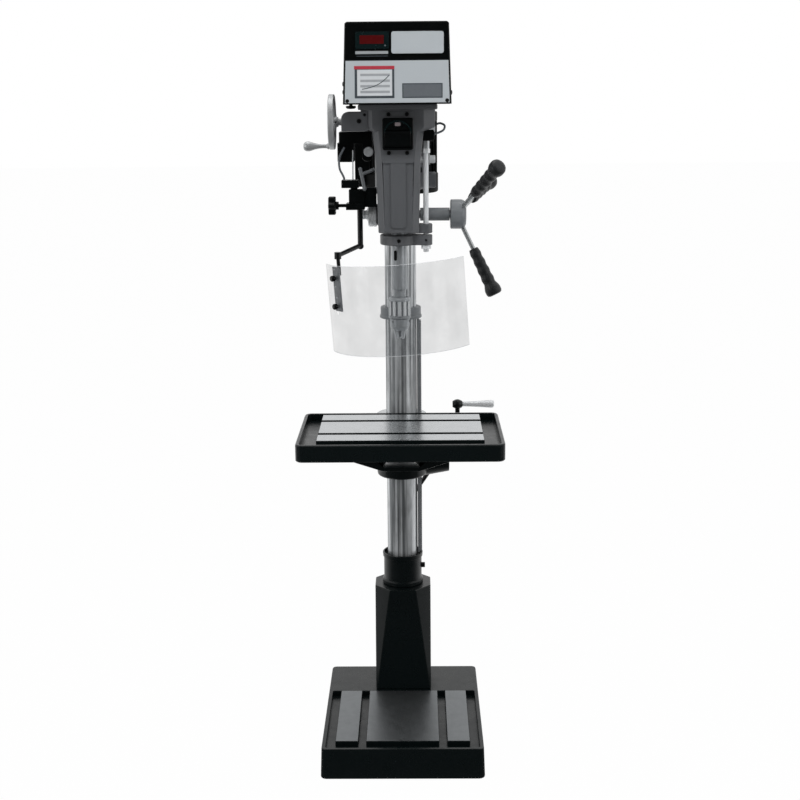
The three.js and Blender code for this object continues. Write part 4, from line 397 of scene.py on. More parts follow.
@functools.cache
def red_lens():
    """Display window: red filter acrylic with a faint glow behind it."""
    material, tree, place = new_material("red_filter_acrylic")
    surface(tree, {
        "Base Color": tones(tree, place, "#3c0506", "#4a0708", 9),
        "Roughness": uneven(tree, place, 0.14, 0.2, 12),
        "Emission Color": linear("#8c1010"),
        "Emission Strength": 0.02,
        "Normal": relief(tree, [(grain(tree, place, 6), 0.02, 0.2)]),
    })
    return material


def flat_skin(name, dark, light):
    """A flat, even skin with a faint grain, as ink on a polyester label and soft PVC have."""
    material, tree, place = new_material(name)
    # The grain, such as an ink's dot screen, is 0.2 mm apart, drawn at 1.8 mm to show.
    surface(tree, {
        "Base Color": tones(tree, place, dark, light, 7),
        "Roughness": uneven(tree, place, 0.4, 0.5, 14),
        "Normal": relief(tree, [(grain(tree, place, 1.8), 0.02, 0.2)]),
    })
    return material


@functools.cache
def label_white():
    """White polyester label stock."""
    return flat_skin("white_polyester_label", "#bcc0c3", "#c6c9cc")


@functools.cache
def label_red():
    """Red label ink."""
    return flat_skin("red_label_ink", "#a32436", "#b02d3d")


@functools.cache
def label_dark():
    """Dark slate label ink."""
    return flat_skin("slate_label_ink", "#343b41", "#3e454b")


@functools.cache
def label_grey():
    """Grey label ink of ruled lines."""
    return flat_skin("grey_label_ink", "#8e9295", "#9a9ea1")


@functools.cache
def label_slate():
    """Mid grey ink of the plate that is left bare."""
    return flat_skin("mid_grey_label_ink", "#565b60", "#5f6469")


@functools.cache
def lead_sheath():
    """Mid grey PVC of the leads and the lamp's unlit lens: flat and even."""
    return flat_skin("grey_pvc_sheath", "#565b60", "#5f6469")


def clear_sheet(name, tint, thin, thick):
    """A clear plastic whose tint veils what is behind it by a share between thin and thick."""
    material, tree, place = new_material(name)
    veil = add(tree, "MapRange", {
        "Value": grain(tree, place, 60, 3.0),
        "From Min": 0.3, "From Max": 0.7, "To Min": thin, "To Max": thick,
    })
    surface(tree, {
        "Base Color": linear(tint),
        "Roughness": uneven(tree, place, 0.06, 0.16, 30),
        "IOR": 1.58,
        "Alpha": veil.outputs["Result"],
        "Normal": relief(tree, [(grain(tree, place, 90, 1.0), 0.4, 0.2)]),
    })
    return material


@functools.cache
def polycarbonate():
    """Polycarbonate sheet: see-through, with a faint smoky tint and a veil of wear."""
    return clear_sheet("clear_polycarbonate_sheet", "#666a6d", 0.13, 0.19)


@functools.cache
def polycarbonate_edge_highlight():
    """The sawn edge of the same sheet: partly its frosted cut, partly a painted highlight of the light the
    edge gathers, as a pale line.
    """
    return clear_sheet("polycarbonate_sawn_edge", "#e2e5e8", 0.85, 0.95)


# ---------------------------------------------------------------- mesh tools, all in millimetres
def corners(node):
    """The lowest and highest corners of a solid."""
    low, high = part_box(node)
    return Vector(low) / MM, Vector(high) / MM


def copy_of(node):
    """A solid's mesh as one skin of flat faces."""
    bm = bmesh.new()
    bm.from_mesh(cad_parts[node].data)
    bmesh.ops.scale(bm, vec=Vector((1, 1, 1)) / MM, verts=bm.verts)
    bmesh.ops.remove_doubles(bm, verts=bm.verts, dist=MERGE)
    bmesh.ops.dissolve_limit(bm, angle_limit=math.radians(FLAT_ANGLE), verts=bm.verts, edges=bm.edges)
    return bm


def room(edge):
    """The narrower of an edge's two faces, measured square to the edge."""
    foot = edge.verts[0].co
    along = (edge.verts[1].co - foot).normalized()
    return min(
        max((v.co - foot - (v.co - foot).dot(along) * along).length for v in face.verts)
        for face in edge.link_faces
    )


def soften(bm, width, segments=2, angle=28):
    """Round every outer edge that is sharper than the angle and has room for it on both its faces."""
    sharp = [
        edge for edge in bm.edges
        if edge.is_manifold and edge.is_convex and edge.calc_face_angle(0) > math.radians(angle)
        and room(edge) > 2.05 * width
    ]
    bmesh.ops.bevel(
        bm, geom=sharp, offset=width, offset_type="OFFSET", segments=segments, profile=0.5,
        affect="EDGES", clamp_overlap=False, material=-1,
    )
    return bm


def together(*shapes):
    """Several shapes as one mesh."""
    first, *rest = shapes
    for shape in rest:
        mesh = bpy.data.meshes.new("shape")
        shape.to_mesh(mesh)
        shape.free()
        first.from_mesh(mesh)
        bpy.data.meshes.remove(mesh)
    return first


def aimed(bm, foot, direction):
    """Turn a shape that stands on the origin to stand on foot along the direction."""
    turn = Vector(direction).to_track_quat("Z", "Y").to_matrix().to_4x4()
    bmesh.ops.transform(bm, matrix=Matrix.Translation(Vector(foot)) @ turn, verts=bm.verts)
    return bm


def block(x, y, z, corner=0, edge=1.0, upright="z", round_steps=5):
    """A box between those limits.

    Corner rounds its edges along the upright axis, and edge breaks the rest.
    """
    bm = bmesh.new()
    bmesh.ops.create_cube(bm, size=1)
    spans = [sorted(span) for span in (x, y, z)]
    bmesh.ops.scale(bm, vec=[high - low for low, high in spans], verts=bm.verts)
    bmesh.ops.translate(bm, vec=[(high + low) / 2 for low, high in spans], verts=bm.verts)
    if corner:
        axis = "xyz".index(upright)
        along = [e for e in bm.edges if abs((e.verts[0].co - e.verts[1].co).normalized()[axis]) > 0.9]
        bmesh.ops.bevel(
            bm, geom=along, offset=corner, offset_type="OFFSET", segments=round_steps, profile=0.5,
            affect="EDGES", clamp_overlap=True, material=-1,
        )
    if edge:
        soften(bm, edge, 2, 40)
    return bm


def prism(outline, span, axis="z", edge=0.0, steps=2):
    """A flat outline of (u, v) points, thickened over a span of the axis, its edges broken."""
    low, high = sorted(span)
    place = {
        "x": lambda u, v: (low, u, v),
        "y": lambda u, v: (u, low, v),
        "z": lambda u, v: (u, v, low),
    }[axis]
    bm = bmesh.new()
    face = bm.faces.new([bm.verts.new(place(u, v)) for u, v in outline])
    grown = bmesh.ops.extrude_face_region(bm, geom=[face])
    shift = Vector([(high - low) * (name == axis) for name in "xyz"])
    bmesh.ops.translate(bm, vec=shift, verts=[v for v in grown["geom"] if isinstance(v, bmesh.types.BMVert)])
    bmesh.ops.recalc_face_normals(bm, faces=bm.faces)
    if edge:
        soften(bm, edge, steps, 30)
    return bm


def turned(foot, direction, profile, sides=64):
    """Spin (radius, height) points about a line from foot. An open profile starts and ends on the line."""
    bm = bmesh.new()
    points = [bm.verts.new((radius, 0, height)) for radius, height in profile]
    edges = [bm.edges.new(pair) for pair in zip(points, points[1:])]
    if profile[0][0] and profile[-1][0]:
        edges.append(bm.edges.new((points[-1], points[0])))
    bmesh.ops.spin(
        bm, geom=points + edges, cent=(0, 0, 0), axis=(0, 0, 1), dvec=(0, 0, 0), angle=2 * math.pi,
        steps=sides, use_merge=True, use_normal_flip=False, use_duplicate=False,
    )
    bmesh.ops.remove_doubles(bm, verts=bm.verts, dist=1e-4)
    bmesh.ops.recalc_face_normals(bm, faces=bm.faces)
    return aimed(bm, foot, direction)


def rod(foot, direction, length, radius, edge=0.6, sides=48):
    """A plain turned bar with chamfered ends."""
    return turned(foot, direction, [
        (0, 0), (radius - edge, 0), (radius, edge),
        (radius, length - edge), (radius - edge, length), (0, length),
    ], sides)


def bar(start, end, radius, edge=0.6, sides=40):
    """A plain turned bar between two points."""
    line = Vector(end) - Vector(start)
    return rod(start, line.normalized(), line.length, radius, edge, sides)


def ball(centre, radius):
    """A ball of smooth quads."""
    bm = bmesh.new()
    bmesh.ops.create_uvsphere(bm, u_segments=32, v_segments=20, radius=radius)
    bmesh.ops.translate(bm, vec=centre, verts=bm.verts)
    return bm


def ring(foot, direction, inner, outer, length, edge=0.6, sides=64):
    """A turned ring with chamfered edges."""
    return turned(foot, direction, [
        (inner, edge), (inner + edge, 0), (outer - edge, 0), (outer, edge),
        (outer, length - edge), (outer - edge, length), (inner + edge, length), (inner, length - edge),
    ], sides)


def hex_bolt(foot, direction, across, height, washer=True):
    """A hexagon head with its chamfer, on a washer."""
    radius = across / 2 / math.cos(math.pi / 6)
    shapes = [turned(foot, direction, [
        (0, 0), (radius, 0), (radius, height * 0.86), (radius * 0.88, height), (0, height),
    ], 6)]
    if washer:
        shapes.append(ring(foot, direction, 1, radius * 1.25, 1.4, 0.3, 32))
    return together(*shapes)


def socket_screw(foot, direction, radius, height):
    """A cap screw's round head with its hexagon socket."""
    return turned(foot, direction, [
        (0, 0), (radius, 0), (radius, height - 0.8), (radius - 0.8, height), (radius * 0.56, height),
        (radius * 0.56, height * 0.45), (0, height * 0.4),
    ], 36)


def pan_screw(foot, direction, radius, height):
    """A low domed head with a small round recess."""
    dome = [(radius * math.cos(a), height * math.sin(a)) for a in [math.pi / 2 * i / 6 for i in range(6)]]
    recess = [(radius * 0.16, height), (radius * 0.1, height * 0.4), (0, height * 0.4)]
    return turned(foot, direction, [(0, 0), *dome, *recess], 32)


def piece(name, bm, body, material, replaces=(), smooth=SMOOTH_ANGLE, more=()):
    """Make the finished piece: an object at the origin that rides on its body.

    Smooth is the angle in degrees below which an edge is shaded round, and more holds further materials.
    """
    bmesh.ops.scale(bm, vec=(MM, MM, MM), verts=bm.verts)
    mesh = bpy.data.meshes.new(name)
    bm.to_mesh(mesh)
    bm.free()
    mesh.polygons.foreach_set("use_smooth", [True] * len(mesh.polygons))
    mesh.set_sharp_from_angle(angle=math.radians(smooth))
    for finish in (material, *more):
        mesh.materials.append(finish)
    obj = bpy.data.objects.new(name, mesh)
    bpy.context.scene.collection.objects.link(obj)
    obj.modifiers.new("even_shading", "WEIGHTED_NORMAL").keep_sharp = True
    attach(obj, body)
    if replaces:
        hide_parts(*replaces)
    return obj


def dress(node, material):
    """Give a solid that stays as it is its finish."""
    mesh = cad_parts[node].data
    mesh.materials.clear()
    mesh.materials.append(material)


# ---------------------------------------------------------------- stage
CAMERA_PLACE = Vector((37.5, -3226.3, 1637.6))
CAMERA_DIP = math.radians(12.86)  # below level
CAMERA_YAW = math.radians(0.7)  # to the left of straight ahead
CAMERA_ROLL = math.radians(0.5)
SENSOR = 36.0
DARK = 0.03  # what the front of the room gives to reflections
ROOM_FADE = (-0.7, 0.1)  # how far back a direction points where the room starts and ends to brighten
FLOOR_FADE = (-0.3, 0.5)  # the same along the floor, in metres
ROOM_LIGHT = 0.4  # what the room gives to matt surfaces
FLOOR_GLOW = 0.985  # share of the floor that shows white, and the rest takes shadow
FLOOR_DROP = 0.0005  # metres that the floor lies under the base's foot


def aim_camera():
    """Set the camera in front, about as high as the head, looking down."""
    ahead = Vector((
        -math.sin(CAMERA_YAW) * math.cos(CAMERA_DIP),
        math.cos(CAMERA_YAW) * math.cos(CAMERA_DIP),
        -math.sin(CAMERA_DIP),
    ))
    level = Vector((math.cos(CAMERA_YAW), math.sin(CAMERA_YAW), 0))
    up = level.cross(ahead)
    right = math.cos(CAMERA_ROLL) * level - math.sin(CAMERA_ROLL) * up
    top = math.sin(CAMERA_ROLL) * level + math.cos(CAMERA_ROLL) * up
    turn = Matrix((right, top, -ahead)).transposed()
    data = bpy.data.cameras.new("camera")
    data.sensor_width = SENSOR
    data.lens = bpy.context.scene.press_stage.lens
    data.clip_end = 100
    camera = bpy.data.objects.new("camera", data)
    camera.matrix_world = Matrix.Translation(CAMERA_PLACE * MM) @ turn.to_4x4()
    bpy.context.scene.collection.objects.link(camera)
    bpy.context.scene.camera = camera


def ray(tree, *kinds):
    """One on a ray of any of these kinds."""
    path = add(tree, "LightPath")
    found = path.outputs[f"Is {kinds[0]} Ray"]
    for kind in kinds[1:]:
        either = add(tree, "Math", {0: found, 1: path.outputs[f"Is {kind} Ray"]}, operation="MAXIMUM")
        found = either.outputs["Value"]
    return found


def brighter_behind(tree, place, start, end):
    """The room that reflections see: dark in front of start, and white behind end."""
    depth = add(tree, "SeparateXYZ", {"Vector": place}).outputs["Y"]
    return add(tree, "MapRange", {
        "Value": depth, "From Min": start, "From Max": end, "To Min": DARK, "To Max": 1.0,
    }).outputs["Result"]


def light_world():
    """A room that reflections see as white behind and dark in front, so that black enamel stays deep."""
    world = bpy.data.worlds.new("studio")
    bpy.context.scene.world = world
    world.use_nodes = True
    tree = world.node_tree
    tree.nodes.clear()
    mirrored = brighter_behind(tree, add(tree, "TexCoord").outputs["Generated"], *ROOM_FADE)
    soft = ROOM_LIGHT * bpy.context.scene.press_stage.light
    unseen = add(tree, "Mix", {0: ray(tree, "Glossy"), 2: soft, 3: mirrored}).outputs[0]
    strength = add(tree, "Mix", {0: ray(tree, "Camera", "Transmission"), 2: unseen, 3: 1.0}).outputs[0]
    background = add(tree, "Background", {"Color": (1, 1, 1, 1), "Strength": strength})
    add(tree, "OutputWorld", {"Surface": background.outputs["Background"]})


def lay_floor():
    """A broad pale floor that shows nearly white and keeps the shadow under the base."""
    bm = bmesh.new()
    bmesh.ops.create_grid(bm, x_segments=1, y_segments=1, size=30)
    mesh = bpy.data.meshes.new("floor")
    bm.to_mesh(mesh)
    bm.free()
    material, tree, place = new_material("pale_studio_floor")
    matt = add(tree, "BsdfDiffuse", {"Color": linear("#d6d7d8")})
    mirrored = brighter_behind(tree, place, *FLOOR_FADE)
    strength = add(tree, "Mix", {0: ray(tree, "Glossy"), 2: 1.0, 3: mirrored}).outputs[0]
    glow = add(tree, "Emission", {"Color": (1, 1, 1, 1), "Strength": strength})
    share = add(tree, "Math", {
        0: ray(tree, "Camera", "Transmission", "Glossy"), 1: FLOOR_GLOW,
    }, operation="MULTIPLY").outputs["Value"]
    mixed = add(tree, "MixShader", {0: share, 1: matt.outputs["BSDF"], 2: glow.outputs["Emission"]})
    add(tree, "OutputMaterial", {"Surface": mixed.outputs["Shader"]})
    mesh.materials.append(material)
    floor = bpy.data.objects.new("floor", mesh)
    floor.location.z = -FLOOR_DROP
    bpy.context.scene.collection.objects.link(floor)


def hang_light(name, place, target, size, watts, mirrored=True):
    """A soft rectangular lamp, which metal and glass mirror unless it is told not to be."""
    data = bpy.data.lights.new(name, "AREA")
    data.shape = "RECTANGLE"
    data.size, data.size_y = size
    data.energy = watts * bpy.context.scene.press_stage.light
    lamp = bpy.data.objects.new(name, data)
    lamp.location = place
    lamp.rotation_euler = (Vector(target) - Vector(place)).to_track_quat("-Z", "Y").to_euler()
    lamp.visible_glossy = mirrored
    bpy.context.scene.collection.objects.link(lamp)


def set_lights():
    """Two tall soft boxes at the sides, a high key light in front and one straight overhead."""
    aim = (0, 0, 1.0)
    hang_light("left_softbox", (-2.6, -1.6, 1.6), aim, (1.2, 2.4), 20)
    hang_light("right_softbox", (2.6, -1.6, 1.6), aim, (1.2, 2.4), 18)
    hang_light("key_softbox", (0.2, -2.2, 3.7), aim, (2.2, 1.4), 48, mirrored=False)
    hang_light("top_softbox", (0, 0.3, 4.2), aim, (2.6, 2.0), 30)


# ---------------------------------------------------------------- places worked out from the frame
def middle(node):
    """The centre of a solid's box."""
    low, high = corners(node)
    return (low + high) / 2


# Each of these is a point on an axis that pieces are turned about or set from.
COLUMN = middle("column")
SPINDLE = middle("spindle")
MOTOR = middle("motor_pulley")  # the motor's own box is wider on its wiring box's side
FEED = middle("feed_sleeve")
STOP = middle("stop_rod")
WHEEL = middle("speed_wheel")


def above(place, z):
    """A point on an upright axis, at a height."""
    return Vector((place.x, place.y, z))


def beside(place, x):
    """A point on an axis that runs left and right."""
    return Vector((x, place.y, place.z))


# ---------------------------------------------------------------- base and pedestal
PAD_WIDTHS = (57, 182, 57)
PAD_SLOT = 19.5
PAD_FRONT = 45  # foot's front edge back to the pads
PAD_DEPTH = 288
PAD_FACE = 1.1  # how far a machined face stays inside its casting's edge


def machined_faces(spans, y, top):
    """Thin machined faces on cast pads, for each span of X, at one height."""
    depth = (y[0] + PAD_FACE, y[1] - PAD_FACE)
    return together(*[
        block((x0 + PAD_FACE, x1 - PAD_FACE), depth, (top - 1.2, top + 0.25), edge=0.4)
        for x0, x1 in spans
    ])


class PRESS_OT_base(bpy.types.Operator):
    """Cast the base, with its three machined pads, and the pedestal"""
    bl_idname = "press.base"
    bl_label = "Base and pedestal"

    def execute(self, context):
        edge = context.scene.press_sizes.casting_edge / MM
        low, high = corners("base")
        piece(
            "base_casting", soften(copy_of("base"), edge), "stand", black_enamel(),
            ["base"],
        )
        start = low.y + PAD_FRONT
        left, centre, right = PAD_WIDTHS
        side = centre / 2 + PAD_SLOT
        spans = [(-side - left, -side), (-centre / 2, centre / 2), (side, side + right)]
        pads = machined_faces(spans, (start, start + PAD_DEPTH), high.z)
        piece("base_pad_faces", pads, "stand", oiled_iron())
        piece(
            "pedestal_casting", soften(copy_of("pedestal"), edge), "stand", black_enamel(),
            ["pedestal"],
        )
        return {"FINISHED"}


# ---------------------------------------------------------------- column
COLUMN_GAP = 0.3  # between the column and what is bored to fit it


class PRESS_OT_column(bpy.types.Operator):
    """Raise the column tube in its socket, with the rack and the ring that holds it"""
    bl_idname = "press.column"
    bl_label = "Column and rack"

    def execute(self, context):
        low, high = corners("column")
        radius = (high.x - low.x) / 2
        wall = context.scene.press_sizes.column_wall / MM
        tube = ring(above(COLUMN, low.z), Z, radius - wall, radius, high.z - low.z, 1.0, 128)
        piece("column_tube", tube, "stand", ground_steel(), ["column"])
        self.socket(radius + COLUMN_GAP)
        self.rack(context.scene.press_sizes.rack_pitch / MM)
        self.top_ring(radius + COLUMN_GAP)
        return {"FINISHED"}

    def socket(self, bore):
        """The flange that carries the column: a foot, a waist and a collar with its set screw."""
        low, high = corners("column_flange")
        outer = (high.x - low.x) / 2
        height = high.z - low.z
        waist = outer - 3.5
        profile = [
            (bore, 0), (outer - 2, 0), (outer, 2), (outer, 10), (outer - 1.5, 12), (waist + 0.5, 13.5),
            (waist, 16), (waist, height - 14), (waist + 0.5, height - 12), (outer - 1, height - 11),
            (outer - 0.5, height - 1.5), (outer - 2, height), (outer - 4.5, height), (outer - 5, height - 1),
            (outer - 5, height - 12), (bore + 1, height - 12.5), (bore, height - 13),
        ]
        piece(
            "column_socket", turned(above(COLUMN, low.z), Z, profile, 96), "stand",
            black_enamel(), ["column_flange"],
        )
        screw_low, screw_high = corners("flange_screw")
        foot = Vector((waist, COLUMN.y, (screw_low.z + screw_high.z) / 2))
        piece(
            "socket_set_screw", socket_screw(foot, X, 7, screw_high.x - waist - 0.5), "stand",
            black_oxide(), ["flange_screw"],
        )

    def rack(self, pitch):
        """The rack's own fine teeth, on the column's right."""
        low, high = corners("rack")
        tooth_depth = 5.2
        root = high.x - tooth_depth
        teeth = int((high.z - low.z - 6) / pitch)
        start = (high.z + low.z - teeth * pitch) / 2
        outline = [(low.x + 0.3, low.z), (root, low.z)]
        for i in range(teeth):
            z = start + i * pitch
            crest = [(high.x, z + pitch * 0.3), (high.x, z + pitch * 0.6)]
            outline += [(root, z), *crest, (root, z + pitch * 0.9)]
        outline += [(root, high.z), (low.x + 0.3, high.z)]
        piece(
            "rack_bar", prism(outline, (low.y, high.y), "y"), "rack_body", rack_steel(),
            ["rack"], smooth=20,
        )

    def top_ring(self, bore):
        """The bevelled ring that keeps the rack down on the column."""
        low, high = corners("rack_top_ring")
        outer = (high.x - low.x) / 2
        height = high.z - low.z
        profile = [
            (bore, 5.5), (bore + 4.5, 5.5), (outer - 1.4, 3), (outer, 4.4), (outer, 9), (outer - 2, 11),
            (outer - 2, height - 3), (outer - 3, height - 1), (outer - 5, height), (bore, height),
        ]
        piece(
            "rack_ring", turned(above(COLUMN, low.z), Z, profile, 96), "stand",
            light_grey_enamel(), ["rack_top_ring"],
        )
        screw = socket_screw(Vector((COLUMN.x, COLUMN.y - outer + 5, low.z + 20)), -Y, 4.5, 1.6)
        piece("rack_ring_screw", screw, "stand", black_oxide())


# ---------------------------------------------------------------- table
TABLE_REACH = 200  # half the length of the machined face
STRIPS = (58.5, 114, 58.5)  # widths of its three strips, front to back
T_SLOT = 16
STRIP_FRONT = 44  # table's front edge back to the first strip
COLLAR_FACE = (41, 63.4)  # inner and outer radius of the collar's bare face


class PRESS_OT_table(bpy.types.Operator):
    """Cast the table with its gutter and three machined strips, and its bracket"""
    bl_idname = "press.table"
    bl_label = "Table"

    def execute(self, context):
        edge = context.scene.press_sizes.casting_edge / MM
        low, high = corners("table")
        piece(
            "table_casting", soften(copy_of("table"), edge * 0.7), "table_body",
            black_enamel(), ["table"],
        )
        strips = []
        y = low.y + STRIP_FRONT
        for width in STRIPS:
            strips.append(machined_faces([(-TABLE_REACH, TABLE_REACH)], (y, y + width), high.z))
            y += width + T_SLOT
        piece("table_strips", together(*strips), "table_body", machined_iron())
        self.bracket(edge)
        return {"FINISHED"}

    def bracket(self, edge):
        """The bracket round the column, its bare collar face and the end plate of its gearbox."""
        _, high = corners("table_bracket")
        piece(
            "bracket_casting", soften(copy_of("table_bracket"), edge * 0.8), "table_body",
            black_enamel(), ["table_bracket"],
        )
        face_ring = ring(above(COLUMN, high.z - 0.3), Z, *COLLAR_FACE, 0.5, 0.15, 96)
        piece("collar_face", face_ring, "table_body", machined_iron())
        shaft = middle("crank_shaft")
        plate = ring(beside(shaft, high.x - 0.2), X, 10, 22, 2.6, 0.6, 64)
        circle = 16
        screws = []
        for turn in (45, 135, 225, 315):
            angle = math.radians(turn)
            foot = Vector((
                high.x + 2, shaft.y + circle * math.cos(angle), shaft.z + circle * math.sin(angle),
            ))
            screws.append(socket_screw(foot, X, 2.6, 1.6))
        piece("gearbox_end_plate", together(plate, *screws), "table_body", black_oxide())


# ---------------------------------------------------------------- table lift and lock
PINION_TEETH = 16
WORM_WHEEL_TEETH = 30
GEAR_WIDTH = 22


def gear(foot, direction, teeth, root, tip, width):
    """A spur gear with straight-sided teeth."""
    outline = []
    for i in range(teeth):
        for radius, share in ((root, 0.0), (root, 0.3), (tip, 0.48), (tip, 0.82)):
            angle = 2 * math.pi * (i + share) / teeth
            outline.append((radius * math.cos(angle), radius * math.sin(angle)))
    return aimed(prism(outline, (0, width), "z", 0.3, 1), foot, direction)


class PRESS_OT_crank(bpy.types.Operator):
    """Fit the crank that raises the table, its gear and the table's lock lever"""
    bl_idname = "press.crank"
    bl_label = "Lift crank and lock"

    def execute(self, context):
        self.gears()
        self.arm()
        self.lock()
        dress("crank_shaft", turned_steel())
        return {"FINISHED"}

    def gears(self):
        """The pinion on the rack and the worm wheel on the same shaft."""
        low, high = corners("lift_pinion")
        place = Vector((middle("lift_pinion").x, low.y, middle("lift_pinion").z))
        wheel = (high.x - low.x) / 2
        pinion = gear(place, Y, PINION_TEETH, wheel - 8, wheel - 5.2, GEAR_WIDTH)
        hub_length = high.y - low.y - 2 * GEAR_WIDTH
        hub = rod(place + (GEAR_WIDTH - 1) * Y, Y, hub_length, wheel - 10, 0.4)
        far = Vector((place.x, high.y - GEAR_WIDTH, place.z))
        worm_wheel = gear(far, Y, WORM_WHEEL_TEETH, wheel - 2.4, wheel - 0.2, GEAR_WIDTH - 0.5)
        piece(
            "lift_gears", together(pinion, hub, worm_wheel), "lift_gear", turned_steel(),
            ["lift_pinion"],
        )

    def arm(self):
        """A forged arm with a boss at each end, and its tapered handle."""
        low, high = corners("crank_arm")
        shaft = middle("crank_shaft")
        boss, neck, thickness = 13, 8, 12
        top = high.z - boss
        start = low.x + 7
        outline = [
            (shaft.y - 10, shaft.z), (shaft.y - 7, top), (shaft.y + 7, top), (shaft.y + 10, shaft.z),
        ]
        web = prism(outline, (start, start + thickness), "x", 2.5, 3)
        lower = rod(beside(shaft, start - 0.2), X, 16, 16, 1.5, 64)
        width = high.x - low.x
        steps = 12
        swell = [
            (neck + (boss - neck) * math.sin(math.pi * i / steps), width * i / steps)
            for i in range(steps + 1)
        ]
        upper = turned(Vector((low.x, shaft.y, top)), X, [(0, 0), *swell, (0, width)], 64)
        bolt = hex_bolt(beside(shaft, start + 15.8), X, 13, 5)
        piece(
            "crank_forging", together(web, lower, upper, bolt), "crank_body", black_oxide(),
            ["crank_arm"],
        )
        low, high = corners("crank_handle")
        length = high.x - low.x
        radius = (high.z - low.z) / 2
        handle = turned(beside(middle("crank_handle"), low.x), X, [
            (0, 0), (5.6, 0), (6.4, 1.2), (6.5, 8), (7, 22), (8.1, 42), (9.3, 60),
            (radius - 0.3, length - 12), (radius, length - 8), (radius - 0.6, length - 4),
            (radius - 2, length - 1.6), (radius - 5, length), (0, length),
        ], 72)
        piece(
            "crank_grip_spun", handle, "crank_grip", bright_aluminium(),
            ["crank_handle"], smooth=40,
        )

    def lock(self):
        """A ball lever on the bracket's clamp screw."""
        low, high = corners("table_lock_lever")
        radius = 14
        hub = Vector((high.x - radius, high.y - 2 * radius, high.z - radius))
        knob = 9
        tip = Vector((low.x + knob, hub.y + radius + 1, low.z + knob))
        lever = together(
            rod(hub, Y, 2 * radius, radius, 2, 64), bar(hub + (radius + 1) * Y, tip, 5.8, 0.5),
            ball(tip, knob - 0.1), rod(hub - 8 * Y, Y, 10, 6, 0.5),
        )
        piece("lock_lever_forging", lever, "table_lock", black_oxide(), ["table_lock_lever"])


# ---------------------------------------------------------------- head
HEAD_FRONT = 64  # spindle's axis forward to the head's front face
NOSE_SIDE = 48  # head's middle out to the nose's right face
CLAMP_SIDE = 75  # and out to the column clamp's
FRONT_SCREW_SPREAD = 21  # head's middle out to each screw beside the switch
FRONT_SCREW_HEIGHTS = (1599, 1512)
SIDE_SCREW_HEIGHTS = (1518, 1471)
NOSE_BOLT_HEIGHT = 1494
CLAMP_BOLT_HEIGHTS = (1484, 1560)


class PRESS_OT_head(bpy.types.Operator):
    """Cast the head and drive in its screws"""
    bl_idname = "press.head"
    bl_label = "Head casting"

    def execute(self, context):
        edge = context.scene.press_sizes.casting_edge / MM
        piece(
            "head_skin", soften(copy_of("head_casting"), edge), "stand", grey_enamel(),
            ["head_casting"],
        )
        front = SPINDLE.y - HEAD_FRONT
        black = [
            socket_screw(Vector((x, front + 0.5, z)), -Y, 4.6, 3.6)
            for x in (-FRONT_SCREW_SPREAD, FRONT_SCREW_SPREAD) for z in FRONT_SCREW_HEIGHTS
        ]
        black += [
            socket_screw(Vector((NOSE_SIDE - 0.5, SPINDLE.y - 22, z)), X, 6.5, 8)
            for z in SIDE_SCREW_HEIGHTS
        ]
        piece("head_black_screws", together(*black), "stand", black_oxide())
        silver = [hex_bolt(Vector((NOSE_SIDE, SPINDLE.y - 8, NOSE_BOLT_HEIGHT)), X, 15, 9)]
        silver += [
            hex_bolt(Vector((CLAMP_SIDE, COLUMN.y + 2, z)), X, 19, 15) for z in CLAMP_BOLT_HEIGHTS
        ]
        piece("head_bright_bolts", together(*silver), "stand", bright_zinc())
        dress("cover_pan", powder_coat())
        return {"FINISHED"}


# ---------------------------------------------------------------- switch
LENS_HALF = (6.5, 4.1)  # half its width and half its height
ARCH_OUTER = (32, 29)  # half the arch's width, and its rise
ARCH_INNER = (28.5, 25)
ARCH_FOOT = 34  # switch's top down to the arch's feet


class PRESS_OT_switch(bpy.types.Operator):
    """Fit the switch, its start button and its stop paddle"""
    bl_idname = "press.switch"
    bl_label = "Switch"

    def execute(self, context):
        low, high = corners("switch_body")
        body = soften(copy_of("switch_body"), 0.8, 2)
        piece("switch_shell", body, "stand", black_plastic(), ["switch_body"])
        self.arch(low, high)
        start = soften(copy_of("start_button"), 0.8, 3)
        piece("start_cap", start, "start_body", black_plastic(), ["start_button"])
        face = corners("start_button")[0].y
        centre = middle("start_button")
        wide, tall = LENS_HALF
        lens = block(
            (centre.x - wide, centre.x + wide), (face - 0.6, face + 0.6),
            (centre.z - tall, centre.z + tall), 2, 0.25, "y",
        )
        piece("start_lens", lens, "start_body", start_plastic())
        paddle = soften(copy_of("stop_paddle"), 1.5, 4, 12)
        piece("stop_flap", paddle, "stop_body", black_plastic(), ["stop_paddle"], smooth=50)
        return {"FINISHED"}

    def arch(self, low, high):
        """The raised arch that shields the start button from a knock."""
        steps = 24
        turns = [math.pi * i / steps for i in range(steps + 1)]
        outer, inner = (
            [(half * math.cos(turn), rise * math.sin(turn)) for turn in turns]
            for half, rise in (ARCH_OUTER, ARCH_INNER)
        )
        foot = high.z - ARCH_FOOT
        outline = [(u, v + foot) for u, v in outer + inner[::-1]]
        rim = prism(outline, (low.y - 1.6, low.y + 1), "y", 0.6, 2)
        # Painted highlight: the arch takes the bezel's lighter teal over the black switch.
        piece("switch_arch", rim, "stand", bezel_plastic_and_arch_highlight())


# ---------------------------------------------------------------- quill and chuck
DRIFT_SLOT = ((-12.2, -5.6), (1259, 1283))  # its spans across and up
FLUTE_DEPTH = 2.4
KEY_HOLE_TURNS = (107, 227, 347)  # degrees from the right, round the chuck
KEY_HOLE_HEIGHT = 23  # over the chuck body's foot


